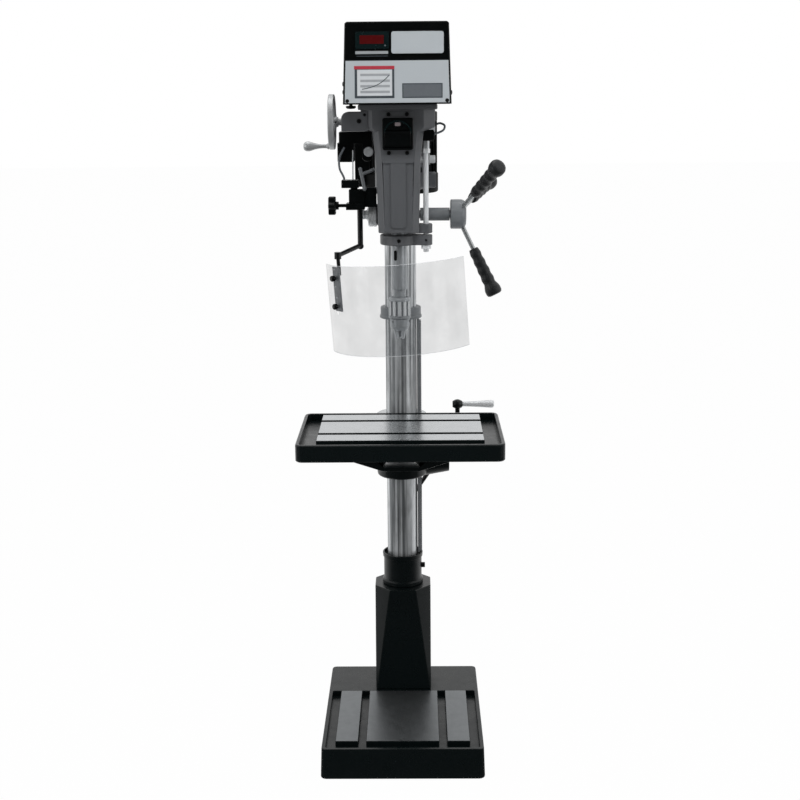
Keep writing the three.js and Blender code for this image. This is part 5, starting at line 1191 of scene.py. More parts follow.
class PRESS_OT_quill(bpy.types.Operator):
    """Turn the quill, its collar, its bearing and the spindle"""
    bl_idname = "press.quill"
    bl_label = "Quill and spindle"

    def execute(self, context):
        low, high = corners("quill")
        radius = (high.x - low.x) / 2
        bore = 11.5
        seat = 15.8
        sleeve = turned(above(SPINDLE, low.z), Z, [
            (seat, 0), (radius - 1.4, 0), (radius, 1.2), (radius, high.z - low.z - 0.5),
            (radius - 0.5, high.z - low.z), (bore, high.z - low.z), (bore, 14), (seat, 14),
        ], 96)
        piece("quill_sleeve", sleeve, "quill_body", turned_steel(), ["quill"])
        # Painted shade: a dark block in the slot's place stands in for the shadow inside the slot's hollow.
        across, up = DRIFT_SLOT
        slot = block(across, (low.y - 0.25, low.y + 8), up, 3.2, 0, "y", 6)
        piece("drift_slot", slot, "quill_body", black_oxide())
        dress("quill_bearing", turned_steel())
        dress("spindle", turned_steel())
        self.collar()
        return {"FINISHED"}

    def collar(self):
        """The clamped collar at the quill's foot, which carries the stop rod."""
        low, high = corners("quill_collar")
        piece(
            "quill_clamp", soften(copy_of("quill_collar"), 1.2), "quill_body", grey_enamel(),
            ["quill_collar"],
        )
        height = (low.z + high.z) / 2
        lug = high.x - STOP.x
        screws = together(
            socket_screw(Vector((0, low.y + 0.8, height)), -Y, 4.5, 2.0),
            socket_screw(Vector((STOP.x, STOP.y - lug + 0.6, height)), -Y, 2.8, 1.6),
        )
        piece("quill_clamp_screws", screws, "quill_body", black_oxide())


class PRESS_OT_chuck(bpy.types.Operator):
    """Build the three-jaw chuck with its fluted sleeve"""
    bl_idname = "press.chuck"
    bl_label = "Chuck"

    def execute(self, context):
        self.sleeve(context.scene.press_sizes.flutes)
        self.body()
        for i in (1, 2, 3):
            jaw = soften(copy_of(f"chuck_jaw_{i}"), 0.7, 2)
            piece(
                f"jaw_{i}_ground", jaw, f"jaw_body_{i}", turned_steel(),
                [f"chuck_jaw_{i}"],
            )
        return {"FINISHED"}

    def sleeve(self, flutes):
        """A sleeve whose flutes are milled between two plain bands."""
        low, high = corners("chuck_sleeve")
        radius = (high.x - low.x) / 2
        height = high.z - low.z
        core = radius - 9.6
        foot, top = 6.0, height - 8.0
        profile = [
            (core, 0), (radius - 2.4, 0), (radius - 0.6, 0.8), (radius, 2.4), (radius, foot - 0.4),
            (radius - 1.6, foot), (radius - 1.6, foot + 1.2), (radius, foot + 1.6), (radius, top - 1.6),
            (radius - 0.1, top - 0.6), (radius, top),
            (radius, height - 6), (radius - 1.6, height - 2.6), (radius - 4, height), (core, height),
        ]
        bm = turned(above(SPINDLE, low.z), Z, profile, flutes * 16)
        for vert in bm.verts:
            out = Vector((vert.co.x - SPINDLE.x, vert.co.y - SPINDLE.y))
            rise = vert.co.z - low.z
            if out.length > radius - 0.2 and foot + 1.4 < rise < top - 1:
                wave = 0.5 - 0.5 * math.cos(flutes * math.atan2(out.y, out.x))
                out *= 1 - FLUTE_DEPTH * max(0, 1.8 * wave - 0.8) / radius
                vert.co.x, vert.co.y = SPINDLE.x + out.x, SPINDLE.y + out.y
        # Painted shade: the flutes' deep faces take the darker strip steel, and the upright lands the
        # polished steel.
        for face in bm.faces:
            centre = face.calc_center_median()
            depth = radius - Vector((centre.x - SPINDLE.x, centre.y - SPINDLE.y)).length
            upright = foot + 1 < centre.z - low.z < top - 1
            face.material_index = 2 if upright and depth > 0.8 else 1 if upright else 0
        piece(
            "chuck_sleeve_fluted", bm, "sleeve_body", turned_steel(), ["chuck_sleeve"],
            smooth=40, more=[polished_steel(), strip_steel_and_flute_shade()],
        )

    def body(self):
        """The body's waist and nose, with three key holes shown as dark plugs of painted shade."""
        low, high = corners("chuck_body")
        sleeve_low, _ = corners("chuck_sleeve")
        radius = (high.x - low.x) / 2
        shown = sleeve_low.z - low.z
        profile = [
            (0, 2), (5.4, 0.4), (radius - 10, 0), (radius - 7, 0.6), (radius - 0.8, 8.4), (radius, 10),
            (radius, shown - 1.6), (radius - 0.8, shown - 0.6), (radius - 7, shown - 0.6),
            (radius - 7, high.z - low.z), (0, high.z - low.z),
        ]
        piece(
            "chuck_body_turned", turned(above(SPINDLE, low.z), Z, profile, 96), "spindle_body",
            turned_steel(), ["chuck_body"],
        )
        # Painted shade: dark plugs stand in for the shadow inside each key hole.
        holes = []
        for turn in KEY_HOLE_TURNS:
            out = Vector((math.cos(math.radians(turn)), math.sin(math.radians(turn)), 0))
            foot = above(SPINDLE, low.z + KEY_HOLE_HEIGHT) + out * (radius - 0.9)
            holes.append(rod(foot, out, 3.2, 1.2, 0.1, 32))
        piece("chuck_key_holes", together(*holes), "spindle_body", black_oxide())


# ---------------------------------------------------------------- depth stop
class PRESS_OT_stop(bpy.types.Operator):
    """Hang the depth stop's threaded rod in its collar, with its nut"""
    bl_idname = "press.stop"
    bl_label = "Depth stop"

    def execute(self, context):
        low, high = corners("stop_rod")
        collar_low, _ = corners("quill_collar")
        nut_low, nut_high = corners("stop_nut")
        radius = 6.5
        seat = collar_low.z - 0.3 - low.z
        shoulder = nut_high.z + 0.3 - low.z
        profile = [(0, 0), (radius - 1, 0), (radius, 1), (radius, seat - 9)]
        profile += [
            (radius + 4.6, seat - 9), (radius + 5, seat - 8), (radius + 5, seat - 1), (radius + 4.6, seat),
        ]
        profile += self.thread(seat, shoulder, radius, context.scene.press_sizes.thread_pitch / MM)
        profile += [(0, shoulder)]
        piece(
            "stop_rod_threaded", turned(above(STOP, low.z), Z, profile, 48), "quill_body",
            bright_zinc(), ["stop_rod"], smooth=24,
        )
        crown = high.z - low.z - shoulder
        top_nut = turned(above(STOP, low.z + shoulder), Z, [
            (0, 0), (radius + 2, 0), (radius + 2, crown - 1.4), (radius + 0.6, crown), (0, crown),
        ], 6)
        piece("stop_top_nut", top_nut, "quill_body", zinc())
        flat = 9.1
        point = flat * 2 / math.sqrt(3) - 0.2
        height = nut_high.z - nut_low.z
        nut = turned(above(STOP, nut_low.z), Z, [
            (radius + 0.3, 0.8), (radius + 1, 0), (flat, 0), (point, 1.2), (point, height - 1.2),
            (flat, height), (radius + 1, height), (radius + 0.3, height - 0.8),
        ], 6)
        piece("stop_nut_hex", nut, "stop_nut_body", bright_zinc(), ["stop_nut"])
        return {"FINISHED"}

    def thread(self, start, end, radius, pitch):
        """A thread's crests and roots as rings; it is too fine for its helix to show."""
        points = [(radius - 0.5, start + 0.3)]
        for i in range(int((end - start) / pitch)):
            z = start + 0.5 + i * pitch
            points += [(radius, z), (radius - 0.45, z + pitch / 2)]
        return points


# ---------------------------------------------------------------- feed
SPOKE_FIRST = 141  # degrees from the back, up and over
SPOKE_LEAN = 25.6  # degrees out of the hub's plane
SPOKE_LENGTH = 111
SPOKE_PLANE = 24  # hub's inner face out to the spokes' feet
SPOKE_FOOT = 19  # feed's axis out to them
GRIP_START = 71  # along the spoke
GRIP_LENGTH = 122
LOCK_START = Vector((-55, SPINDLE.y - 27, 1474))  # on the head's left side
LOCK_STEM = Vector((-31, -5, -12))  # from there out to the cross bar
LOCK_LEAN = math.radians(11.5)  # of the cross bar, to the left


class PRESS_OT_feed(bpy.types.Operator):
    """Build the feed hub with its three spokes and grips, the lifting spring's cup and the quill's lock"""
    bl_idname = "press.feed"
    bl_label = "Feed"

    def execute(self, context):
        low, high = corners("feed_sleeve")
        sleeve = ring(beside(FEED, low.x), X, 10.6, 15.5, high.x - low.x, 0.8, 72)
        piece("feed_tube", sleeve, "stand", light_grey_enamel(), ["feed_sleeve"])
        self.hub()
        self.spring_cap()
        dress("feed_shaft", turned_steel())
        dress("return_spring", turned_steel())
        self.lock_lever()
        return {"FINISHED"}

    def hub(self):
        """The painted hub, chromed spokes and vinyl grips."""
        start = corners("feed_sleeve")[1].x + 1.6
        length = 38
        radius = 35
        hub = turned(beside(FEED, start), X, [
            (0, 0), (radius - 3, 0), (radius - 0.8, 0.8), (radius, 3), (radius, length - 12),
            (radius - 1.5, length - 7), (radius - 5, length - 3), (radius - 10, length - 0.6),
            (radius - 17, length), (0, length),
        ], 96)
        piece("feed_boss", hub, "feed_body", light_grey_enamel(), smooth=40)
        spokes = []
        for i in range(3):
            turn = math.radians(SPOKE_FIRST + 120 * i)
            radial = Vector((0, math.cos(turn), math.sin(turn)))
            lean = math.radians(SPOKE_LEAN)
            direction = radial * math.cos(lean) + X * math.sin(lean)
            foot = beside(FEED, start + SPOKE_PLANE) + radial * SPOKE_FOOT
            spokes.append(rod(foot, direction, SPOKE_LENGTH, 5.5, 0.5, 40))
            self.grip(i + 1, foot + direction * GRIP_START, direction)
        piece("feed_spokes", together(*spokes), "feed_body", chrome(), ["feed_hub"])

    def grip(self, number, foot, direction):
        """A grip of soft rolls, from a narrow neck to a flared end."""
        rolls = 4
        span = GRIP_LENGTH * 0.74
        profile = [(0, 40.5), (5.8, 40), (5.8, 0.6), (9.4, 0), (11.2, 1.4)]
        steps = rolls * 12
        for i in range(1, steps):
            share = i / steps
            swell = math.sin(math.pi * rolls * share) ** 2
            profile.append((11.6 + 2.6 * share + 1.5 * swell, 2 + (span - 2) * share))
        for i in range(9):
            share = i / 8
            profile.append((14.2 + 5.3 * math.sin(math.pi / 2 * share) ** 1.4, span + 18 * share))
        profile += [
            (19.5, span + 21), (19.3, span + 25), (17.6, span + 29), (13.5, GRIP_LENGTH - 0.3),
            (8, GRIP_LENGTH), (0, GRIP_LENGTH),
        ]
        piece(
            f"grip_{number}_moulded", turned(foot, direction, profile, 72), "feed_body",
            grip_rubber(), [f"feed_grip_{number}"], smooth=50,
        )

    def spring_cap(self):
        """The cup on the left that holds the return spring, and the nuts that set it."""
        low, high = corners("return_spring_cap")
        radius = (high.z - low.z) / 2
        width = high.x - low.x
        cap = turned(beside(FEED, high.x), -X, [
            (radius - 3, 0), (radius - 0.6, 0), (radius, 0.8), (radius, 6), (radius - 0.8, 6.6),
            (radius - 0.8, 8), (radius, 8.6), (radius, width - 4), (radius - 1.2, width - 1.2),
            (radius - 4, width), (11, width), (11, width - 2.6), (radius - 3, width - 2.6),
        ], 96)
        piece("spring_cup", cap, "stand", bright_aluminium(), ["return_spring_cap"])
        nuts = together(
            hex_bolt(beside(FEED, low.x - 0.6), -X, 21, 6.2, washer=True),
            hex_bolt(beside(FEED, low.x - 8.8), -X, 21, 5.6, washer=False),
        )
        piece("spring_nuts", nuts, "feed_body", bright_zinc())

    def lock_lever(self):
        """The quill's lock: a stem and a cross bar with rounded ends."""
        end = LOCK_START + LOCK_STEM
        along = Vector((-math.sin(LOCK_LEAN), 0, math.cos(LOCK_LEAN)))
        lever = together(
            bar(LOCK_START, end, 4, 0.5), bar(end + 15.5 * along, end - 37.5 * along, 4.4, 2.0),
            ball(end + 12.5 * along, 4.9), ball(end - 34 * along, 4.9),
        )
        piece("quill_lock_bar", lever, "quill_lock", strip_steel_and_flute_shade(), ["quill_lock_lever"])


# ---------------------------------------------------------------- motor and drive
class PRESS_OT_drive(bpy.types.Operator):
    """Hang the motor and fit the sheaves and belt"""
    bl_idname = "press.drive"
    bl_label = "Motor and drive"

    def execute(self, context):
        self.motor(context.scene.press_sizes.motor_fins)
        dress("motor_plate", powder_coat())
        dress("drive_belt", belt_rubber())
        for node in ("motor_pulley", "spindle_pulley"):
            dress(node, aluminium())
        return {"FINISHED"}

    def motor(self, fins):
        """A finned motor body with a fan cowl below and a wiring box on its left."""
        low, high = corners("motor")
        radius = high.x - MOTOR.x
        height = high.z - low.z
        cowl = 50  # the fan cowl's height, at the foot
        shield = 24  # the end shield's height, at the top
        bore = (9.6, 40)  # radius and depth of the hole round the motor's shaft
        body = turned(above(MOTOR, low.z), Z, [
            (0, 0), (radius - 5, 0), (radius - 1.5, 1.5), (radius, 5), (radius, cowl - 2),
            (radius - 1.5, cowl), (radius - 8, cowl + 1), (radius - 8, height - shield - 1),
            (radius - 3, height - shield), (radius - 2, height - shield + 2), (radius - 2, height - 2),
            (radius - 4, height), (bore[0], height), (bore[0], height - bore[1]), (0, height - bore[1]),
        ], 96)
        ribs = []
        span = (low.z + cowl, low.z + height - shield)
        for i in range(fins):
            rib = block((radius - 10, radius - 2.4), (-1.1, 1.1), span, edge=0.5)
            turn = Matrix.Rotation(2 * math.pi * (i + 0.5) / fins, 4, "Z")
            bmesh.ops.transform(rib, matrix=Matrix.Translation(above(MOTOR, 0)) @ turn, verts=rib.verts)
            ribs.append(rib)
        box = block(
            (low.x + 0.2, MOTOR.x - radius + 24), (MOTOR.y - 45, MOTOR.y + 45),
            (low.z + 16, high.z - 16), 6, 1.2, "x",
        )
        lid = block(
            (low.x, low.x + 2.4), (MOTOR.y - 42, MOTOR.y + 42), (low.z + 19, high.z - 19), 5, 0.5, "x",
        )
        piece(
            "motor_finned", together(body, *ribs, box, lid), "stand", motor_paint(),
            ["motor"],
        )


# ---------------------------------------------------------------- belt cover
FRONT_KNOBS = 44  # cover's front foot back to its front knobs
BACK_KNOBS = 120  # cover's back forward to its back knobs
THUMB_SCREW = Vector((-108, -95, 1611))  # under the pan's left edge


class PRESS_OT_cover(bpy.types.Operator):
    """Fold the belt cover and fit its knobs and screws"""
    bl_idname = "press.cover"
    bl_label = "Belt cover"

    def execute(self, context):
        edge = context.scene.press_sizes.sheet_edge / MM
        low, high = corners("belt_cover")
        piece(
            "cover_shell", soften(copy_of("belt_cover"), edge, 3, 50), "stand", powder_coat(),
            ["belt_cover"], smooth=40,
        )
        front = low.y + FRONT_KNOBS
        back = high.y - BACK_KNOBS
        knobs = [
            turned(Vector((side * (high.x - 1.6), y, low.z + rise)), X * side, [
                (0, 0), (5.5, 0), (5.5, 2), (4.6, 3.4), (2.4, 4.2), (0, 4.4),
            ], 32)
            for side, y, rise in (
                (-1, front, 27), (-1, front, 45), (1, front, 25), (-1, back, 27), (1, back, 27),
            )
        ]
        piece("cover_side_screws", together(*knobs), "stand", black_oxide())
        reach = corners("cover_pan")[0].z - THUMB_SCREW.z
        thumb_screw = turned(THUMB_SCREW, Z, [
            (0, 0), (8, 0.6), (11.5, 2.6), (11.5, 6.4), (10, 7.4), (4, 7.6), (4, reach), (0, reach),
        ], 40)
        piece("cover_thumb_screw", thumb_screw, "stand", black_oxide())
        return {"FINISHED"}


# ---------------------------------------------------------------- front panel
COVER_LEAN = math.atan2(30, 180)  # the front leans back by 30 mm over its height of 180 mm
SPLIT = 96  # cover's foot up to the dark half of its front


def on_front(bm):
    """Lay a flat shape, drawn with its foot at zero, on the cover's leaning front."""
    low, _ = corners("belt_cover")
    matrix = Matrix.Translation((0, low.y, low.z)) @ Matrix.Rotation(math.pi / 2 - COVER_LEAN, 4, "X")
    bmesh.ops.transform(bm, matrix=matrix, verts=bm.verts)
    return bm


def slab(u, v, foot, top, corner=0, edge=0.15):
    """A thin plate on the front: its span across, its span up, and its two heights."""
    return on_front(block(u, v, (foot, top), corner, edge, "z", 4))


def stroke(points, width, foot, top):
    """A thin printed line through points on the front."""
    left, right = [], []
    for i, point in enumerate(points):
        before, after = points[max(i - 1, 0)], points[min(i + 1, len(points) - 1)]
        along = (Vector(after) - Vector(before)).normalized()
        side = Vector((-along.y, along.x)) * width / 2
        left.append(tuple(Vector(point) + side))
        right.append(tuple(Vector(point) - side))
    return on_front(prism(right + left[::-1], (foot, top), "z"))


class PRESS_OT_panel(bpy.types.Operator):
    """Lay the pale panel, the display, the speed chart and the bare plates on the cover's front"""
    bl_idname = "press.panel"
    bl_label = "Front panel"

    def execute(self, context):
        half = context.scene.press_sizes.panel_width / MM / 2
        panel = on_front(prism([
            (-half - 2.5, 3), (half + 2.5, 3), (half, SPLIT), (-half, SPLIT),
        ], (0.3, 1.7), "z", 0.4, 2))
        piece("panel_sheet", panel, "stand", panel_enamel(), ["front_panel"])
        self.display()
        self.chart()
        self.plates()
        screws = [
            on_front(pan_screw((side * (half - 3), 7.5, 1.6), Z, 4.4, 1.8)) for side in (-1, 1)
        ]
        piece("panel_screws", together(*screws), "stand", black_oxide())
        return {"FINISHED"}

    def display(self):
        """The speed display: a smoked bezel with a red window and one small lamp."""
        bezel = slab((-92.6, -17.5), (121, 159.3), 0.3, 4.6, 2.5, 0.6)
        piece("display_bezel", bezel, "stand", bezel_plastic_and_arch_highlight(), ["display_housing"])
        window = slab((-82.6, -28.9), (132.2, 151.1), 4.2, 5.1, 1.2, 0.3)
        piece("display_window", window, "stand", red_lens())
        lamp = on_front(ball((-26.1, 128.3, 4.2), 1.8))
        piece("display_lamp", lamp, "stand", lead_sheath())

    def chart(self):
        """A blank speed chart: a dark frame, a red head, ruled bands and one rising curve."""
        frame_plate = slab((-94.5, -6), (13.2, 79), 1.65, 2.0)
        piece("chart_frame", frame_plate, "stand", label_dark())
        head = slab((-95.6, -5.6), (77.2, 84.3), 1.7, 2.2)
        piece("chart_head", head, "stand", label_red())
        field = slab((-88.8, -11), (18.5, 76), 1.9, 2.2)
        piece("chart_field", field, "stand", label_white())
        rules = [slab((-81.9, -16), (v, v + 5.4), 2.1, 2.35, 0, 0.05) for v in (24.4, 37, 48.8, 61.9)]
        piece("chart_rules", together(*rules), "stand", label_grey())
        start, end = (-78, 33), (-17.5, 64)
        across, rise = end[0] - start[0], end[1] - start[1]
        steps = 16
        curve = [
            (start[0] + across * t, start[1] + rise * (0.35 * t + 0.65 * t ** 3))
            for t in [i / steps for i in range(steps + 1)]
        ]
        line = stroke(curve, 1.8, 2.25, 2.5)
        piece("chart_curve", line, "stand", label_dark())

    def plates(self):
        """The bare name plate, the bare strip under the display and the bare plate low on the right."""
        name_plate = slab((-12.4, 104.4), (111.3, 160), 0.3, 1.6, 5, 0.4)
        piece("bare_name_plate", name_plate, "stand", panel_enamel())
        strip = slab((-92.5, -19.4), (110.8, 117.3), 0.3, 0.9, 1.0, 0.2)
        piece("bare_strip", strip, "stand", label_grey())
        under = slab((-90, -20), (105.4, 107), 0.3, 0.6, 0, 0.1)
        piece("bare_strip_under", under, "stand", label_dark())
        plate_frame = slab((11.4, 101.4), (13.2, 45.6), 1.65, 1.95)
        piece("bare_plate_frame", plate_frame, "stand", label_dark())
        plate_face = slab((13.8, 99), (15.6, 43.2), 1.85, 2.2)
        piece("bare_plate_face", plate_face, "stand", label_slate())


# ---------------------------------------------------------------- speed control
WHEEL_PLANE = -153  # the rim's middle plane, on the machine's left
WHEEL_HANDLE_DROP = 55  # wheel's centre down to its handle
GEARBOX_SCREWS = ((-89, 1584, 5.2), (-76, 1598, 3.4))  # across, up and radius
BOX_BOLT = (-69.6, 1513)  # across and up
CHEEK_ACROSS = (-85, -61)  # the raised part of the wiring box's front
CHEEK_TOP = 1545
BOOT = ((55, 84), (-104, -88), (1538, 1563))  # its spans across, back and up


class PRESS_OT_speed(bpy.types.Operator):
    """Build the speed gearbox, its hand wheel and the wiring box behind it"""
    bl_idname = "press.speed"
    bl_label = "Speed control"

    def execute(self, context):
        edge = context.scene.press_sizes.casting_edge / MM
        low, _ = corners("speed_gearbox")
        piece(
            "gearbox_casting", soften(copy_of("speed_gearbox"), edge * 0.8), "stand",
            grey_enamel(), ["speed_gearbox"],
        )
        screws = [
            socket_screw(Vector((x, low.y + 0.5, z)), -Y, radius, 2.2) for x, z, radius in GEARBOX_SCREWS
        ]
        piece("gearbox_screws", together(*screws), "stand", black_oxide())
        self.wheel()
        self.wiring_box(edge)
        return {"FINISHED"}

    def wheel(self):
        """A polished rim on three spokes, its hub, and the spun handle."""
        low, high = corners("speed_wheel")
        radius = (high.z - low.z) / 2
        centre = beside(WHEEL, WHEEL_PLANE)
        corner, half_depth, half_width = 3, 4.5, 7  # of the rim's section
        flat, wide = half_depth - corner, half_width - corner
        rim_profile = []
        steps = 24
        for i in range(steps):
            angle = 2 * math.pi * (i + 0.5) / steps
            u, v = math.cos(angle), math.sin(angle)
            reach = radius - half_depth + math.copysign(flat, u) + corner * u
            rim_profile.append((reach, math.copysign(wide, v) + corner * v))
        rim = turned(centre, X, rim_profile, 128)
        spokes = []
        for turn in (90, 210, 330):
            out = Vector((0, math.cos(math.radians(turn)), math.sin(math.radians(turn))))
            spokes.append(bar(centre + 7 * X + out * 6, centre + out * (radius - 7), 5.2, 0.4))
        hub = turned(centre - 5 * X, X, [
            (0, 0), (10, 0), (13, 3), (13, 15), (11, 18), (11, 20), (0, 20),
        ], 64)
        seat = rod(centre - 7 * X - WHEEL_HANDLE_DROP * Z, X, 9, 6.5, 0.8)
        shaft = rod(centre, X, high.x - centre.x, 8, 0.5)
        piece(
            "wheel_spun", together(rim, *spokes, hub, seat, shaft), "speed_body",
            aluminium(), ["speed_wheel"], smooth=50,
        )
        screw = socket_screw(centre + 9 * X - 12.6 * Y, -Y, 2.6, 1.2)
        piece("wheel_set_screw", screw, "speed_body", black_oxide())
        low, high = corners("wheel_handle")
        length = high.x - low.x
        handle = turned(beside(middle("wheel_handle"), high.x), -X, [
            (0, 0), (6.6, 0), (7, 0.8), (7, 3), (5, 5.6), (4.6, 9), (4.7, 16), (5.4, 24), (7.2, 33),
            (9.8, 41), (11.3, 47), (11.4, 51), (10.4, 55), (8, length - 1.6), (5, length - 0.3), (0, length),
        ], 64)
        piece(
            "wheel_handle_spun", handle, "speed_grip", aluminium(), ["wheel_handle"],
            smooth=50,
        )

    def wiring_box(self, edge):
        """The moulded box where the leads meet, and the small boot that the side lead starts from."""
        low, _ = corners("terminal_box")
        box = soften(copy_of("terminal_box"), edge)
        piece("wiring_box", box, "stand", black_plastic(), ["terminal_box"])
        bolt = turned(Vector((BOX_BOLT[0], low.y + 0.5, BOX_BOLT[1])), -Y, [
            (0, 0), (11, 0), (11.6, 1), (11.6, 7), (10.4, 9), (6.4, 9), (6, 7.4), (0, 7.2),
        ], 64)
        piece("wiring_box_bolt", bolt, "stand", zinc())
        depth = (low.y + 0.4, low.y + 12)
        cheek = block(CHEEK_ACROSS, depth, (low.z + 2, CHEEK_TOP), 10, 1.5, "y", 6)
        piece("wiring_box_cheek", cheek, "stand", black_plastic())
        boot = block(*BOOT, 5, 1, "y")
        piece("side_boot", boot, "stand", black_plastic())


# ---------------------------------------------------------------- chuck guard
STAY = ((-106.3, -69, 1517), (-107.4, -69, 1447))  # its two ends


class PRESS_OT_guard(bpy.types.Operator):
    """Fit the guard's block, knob and rod, and hang the clear shield"""
    bl_idname = "press.guard"
    bl_label = "Chuck guard"

    def execute(self, context):
        edge = context.scene.press_sizes.casting_edge / MM
        piece(
            "guard_block_moulded", soften(copy_of("guard_block"), edge * 0.6), "stand",
            black_plastic(), ["guard_block"],
        )
        self.knob()
        self.bent_rod()
        stay = bar(*STAY, 1.5, 0.3, 24)
        piece("guard_stay", stay, "stand", zinc())
        strip = soften(copy_of("shield_strip"), 0.8, 2, 20)
        piece("strip_formed", strip, "guard_body", strip_steel_and_flute_shade(), ["shield_strip"])
        sheet = soften(copy_of("shield"), 0.4, 1, 40)
        sheet.normal_update()
        # Painted highlight: faces of the sheet's top and bottom edges take the pale edge material.
        for face in sheet.faces:
            if abs(face.normal.z) > 0.5:
                face.material_index = 1
        piece(
            "shield_sheet", sheet, "shield_body", polycarbonate(), ["shield"], smooth=20,
            more=[polycarbonate_edge_highlight()],
        )
        for i in (1, 2):
            screw = soften(copy_of(f"shield_screw_{i}"), 0.5, 2, 40)
            piece(
                f"thumb_screw_{i}", screw, "guard_body", black_plastic(),
                [f"shield_screw_{i}"],
            )
        return {"FINISHED"}

    def knob(self):
        """A six-lobed clamp knob."""
        low, high = corners("guard_knob")
        centre = middle("guard_knob")
        radius = (high.y - low.y) / 2
        lobes, steps = 6, 96
        swell = 2.6
        head_length, stud_start = 17, 22  # from the knob's outer face
        outline = []
        for i in range(steps):
            angle = 2 * math.pi * i / steps
            reach = radius - swell + swell * math.cos(lobes * angle)
            outline.append((centre.y + reach * math.cos(angle), centre.z + reach * math.sin(angle)))
        head = prism(outline, (low.x, low.x + head_length), "x", 2.6, 4)
        neck = turned(beside(centre, low.x + head_length - 1), X, [
            (0, 0), (11, 0), (9.5, 3), (9.5, 8), (0, 8),
        ], 48)
        stud = rod(beside(centre, low.x + stud_start), X, high.x - low.x - stud_start, 4, 0.4, 32)
        piece(
            "clamp_knob", together(head, neck, stud), "guard_clamp", black_plastic(),
            ["guard_knob"], smooth=50,
        )

    def bent_rod(self):
        """The bent rod that the shield hangs from."""
        piece(
            "guard_rod_bent", soften(copy_of("guard_rod"), 0.5, 2, 40), "guard_body",
            black_oxide(), ["guard_rod"], smooth=50,
        )


# ---------------------------------------------------------------- cables
CORD = 5.0  # diameter
# Points on each lead's centre line.
INTERLOCK_ROUTE = [
    (-127, -65.6, 1522), (-127, -69.6, 1521), (-131, -73.6, 1514), (-137, -73.6, 1502), (-139, -73.6, 1487),
    (-137, -72.6, 1472), (-131, -71.6, 1460), (-128, -71.6, 1453), (-128, -71.6, 1449),
]
SIDE_ROUTE = [
    (62, -96, 1545), (84, -98, 1553), (104, -92, 1561), (108, -84, 1572), (98, -76, 1577), (89, -72, 1575),
]


def smooth_route(points, steps):
    """Points along one smooth curve through the chosen ones, a Catmull-Rom curve."""
    chosen = [Vector(point) for point in points]
    ends = [2 * chosen[0] - chosen[1], *chosen, 2 * chosen[-1] - chosen[-2]]
    route = []
    for a, b, c, d in zip(ends, ends[1:], ends[2:], ends[3:]):
        for i in range(steps):
            t = i / steps
            route.append(0.5 * (
                2 * b + (c - a) * t + (2 * a - 5 * b + 4 * c - d) * t * t + (3 * b - a - 3 * c + d) * t ** 3
            ))
    return route + [chosen[-1]]


class PRESS_OT_cables(bpy.types.Operator):
    """Lay the guard's short lead, and the small loop on the head's right"""
    bl_idname = "press.cables"
    bl_label = "Leads"

    def execute(self, context):
        self.lead("interlock_lead", INTERLOCK_ROUTE, "interlock_cable")
        self.lead("side_lead", SIDE_ROUTE, "side_cable")
        return {"FINISHED"}

    def lead(self, name, points, node):
        """A round lead, both of whose ends are seated in the pieces beside it."""
        route = [p * MM for p in smooth_route(points, 6)]
        curve = bpy.data.curves.new(name, "CURVE")
        curve.dimensions = "3D"
        curve.bevel_depth = CORD / 2 * MM
        curve.bevel_resolution = 4
        curve.use_fill_caps = True
        spline = curve.splines.new("POLY")
        spline.points.add(len(route) - 1)
        for target, point in zip(spline.points, route):
            target.co = (*point, 1)
        spline.use_smooth = True
        curve.materials.append(lead_sheath())
        obj = bpy.data.objects.new(name, curve)
        bpy.context.scene.collection.objects.link(obj)
        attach(obj, "stand")
        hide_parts(node)


# ---------------------------------------------------------------- stage operator, panel and registration
class PRESS_OT_stage(bpy.types.Operator):
    """Set the camera, the pale floor and the soft light"""
    bl_idname = "press.stage"
    bl_label = "Stage"

    def execute(self, context):
        context.scene.view_settings.view_transform = "Standard"
        aim_camera()
        light_world()
        lay_floor()
        set_lights()
        return {"FINISHED"}


def colour(name, description, hex_colour):
    """A colour on the panel, given as an sRGB hex value."""
    return bpy.props.FloatVectorProperty(
        name=name, description=description, subtype="COLOR", size=4, min=0, max=1,
        default=linear(hex_colour),
    )


def length(name, description, millimetres, most):
    """A length on the panel, given in millimetres."""
    return bpy.props.FloatProperty(
        name=name, description=description, unit="LENGTH", subtype="DISTANCE", default=millimetres * MM,
        min=0, max=most * MM,
    )


class PressColours(bpy.types.PropertyGroup):
    """The machine's main colours."""
    black: colour("Black", "Enamel of the base, the pedestal, the column's socket and the table", "#0c1314")
    sheet_black: colour("Sheet black", "Powder coat of the belt cover and the motor", "#040606")
    grey: colour("Grey", "Enamel of the head", "#57595c")
    light_grey: colour("Light grey", "Enamel of the feed hub and the rack's ring", "#73777a")
    panel: colour("Panel", "Enamel of the front panel", "#aab0b4")


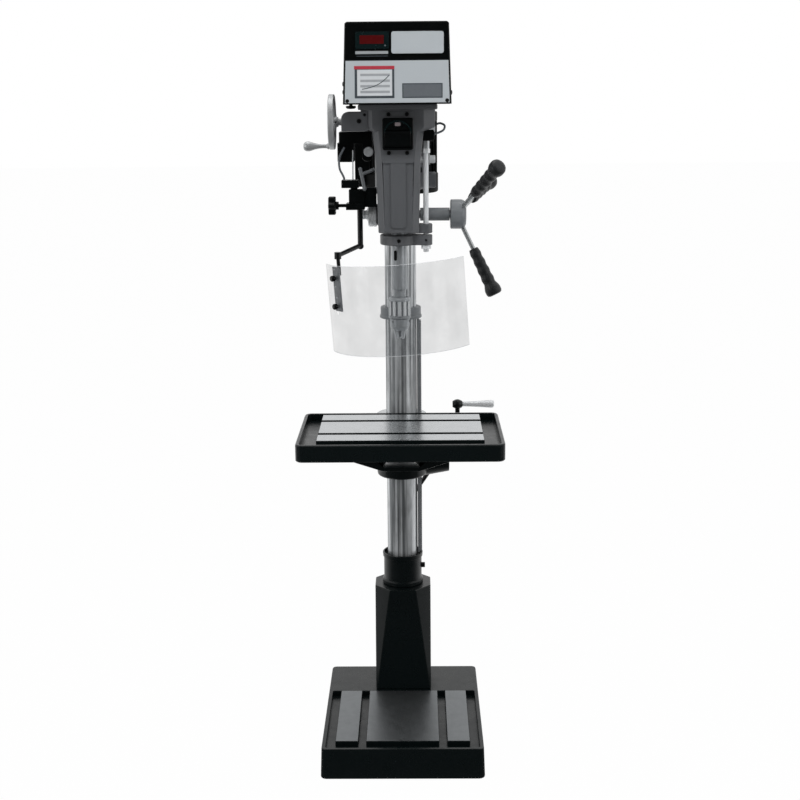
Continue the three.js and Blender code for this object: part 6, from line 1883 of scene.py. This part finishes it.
class PressSizes(bpy.types.PropertyGroup):
    """The sizes that can change without moving a solid."""
    casting_edge: length("Casting edge", "Radius of a casting's outer edges", 2.5, 5)
    sheet_edge: length("Sheet edge", "Bend radius of the belt cover", 1, 2)
    column_wall: length("Column wall", "Wall of the column tube", 7, 20)
    rack_pitch: length("Rack pitch", "Distance between the rack's teeth", 6.126, 12)
    thread_pitch: length("Thread pitch", "Pitch of the depth stop's thread", 2.0, 4)
    panel_width: length("Panel width", "Width of the pale panel at its top", 229, 234)
    flutes: bpy.props.IntProperty(
        name="Flutes", description="Flutes round the chuck's sleeve", default=12, min=6, max=24,
    )
    motor_fins: bpy.props.IntProperty(
        name="Motor fins", description="Fins round the motor", default=36, min=12, max=60,
    )


class PressStage(bpy.types.PropertyGroup):
    """The camera and the light."""
    lens: bpy.props.FloatProperty(
        name="Lens", description="Focal length on a 36 mm sensor, in millimetres", default=59.76,
        min=20, max=200,
    )
    light: bpy.props.FloatProperty(
        name="Light", description="Strength of the lamps and the room", subtype="FACTOR", default=1.0,
        min=0, max=3,
    )


PIECES = (
    PRESS_OT_stage, PRESS_OT_cables, PRESS_OT_base, PRESS_OT_column, PRESS_OT_table, PRESS_OT_crank,
    PRESS_OT_head, PRESS_OT_switch, PRESS_OT_quill, PRESS_OT_chuck, PRESS_OT_stop, PRESS_OT_feed,
    PRESS_OT_drive, PRESS_OT_cover, PRESS_OT_panel, PRESS_OT_speed, PRESS_OT_guard,
)


class PRESS_PT_sidebar(bpy.types.Panel):
    """Lists the drill press's settings and the pieces it is built from"""
    bl_idname = "PRESS_PT_sidebar"
    bl_label = "Drill press"
    bl_space_type = "VIEW_3D"
    bl_region_type = "UI"
    bl_category = "Drill press"

    def draw(self, context):
        scene = context.scene
        for group in (scene.press_colours, scene.press_sizes, scene.press_stage):
            box = self.layout.box()
            for name in group.__annotations__:
                box.prop(group, name)
        for operator in PIECES:
            self.layout.operator(operator.bl_idname)


GROUPS = {"press_colours": PressColours, "press_sizes": PressSizes, "press_stage": PressStage}


def register():
    """Register every class, and hang the settings on the scene."""
    for cls in (*GROUPS.values(), *PIECES, PRESS_PT_sidebar):
        bpy.utils.register_class(cls)
    for name, group in GROUPS.items():
        setattr(bpy.types.Scene, name, bpy.props.PointerProperty(type=group))


def unregister():
    """Take the settings and the classes away again."""
    for name in GROUPS:
        delattr(bpy.types.Scene, name)
    for cls in reversed((*GROUPS.values(), *PIECES, PRESS_PT_sidebar)):
        bpy.utils.unregister_class(cls)


def main():
    """Build the whole press."""
    register()
    for operator in PIECES:
        group, name = operator.bl_idname.split(".")
        getattr(getattr(bpy.ops, group), name)()


if __name__ == "__main__":
    main()
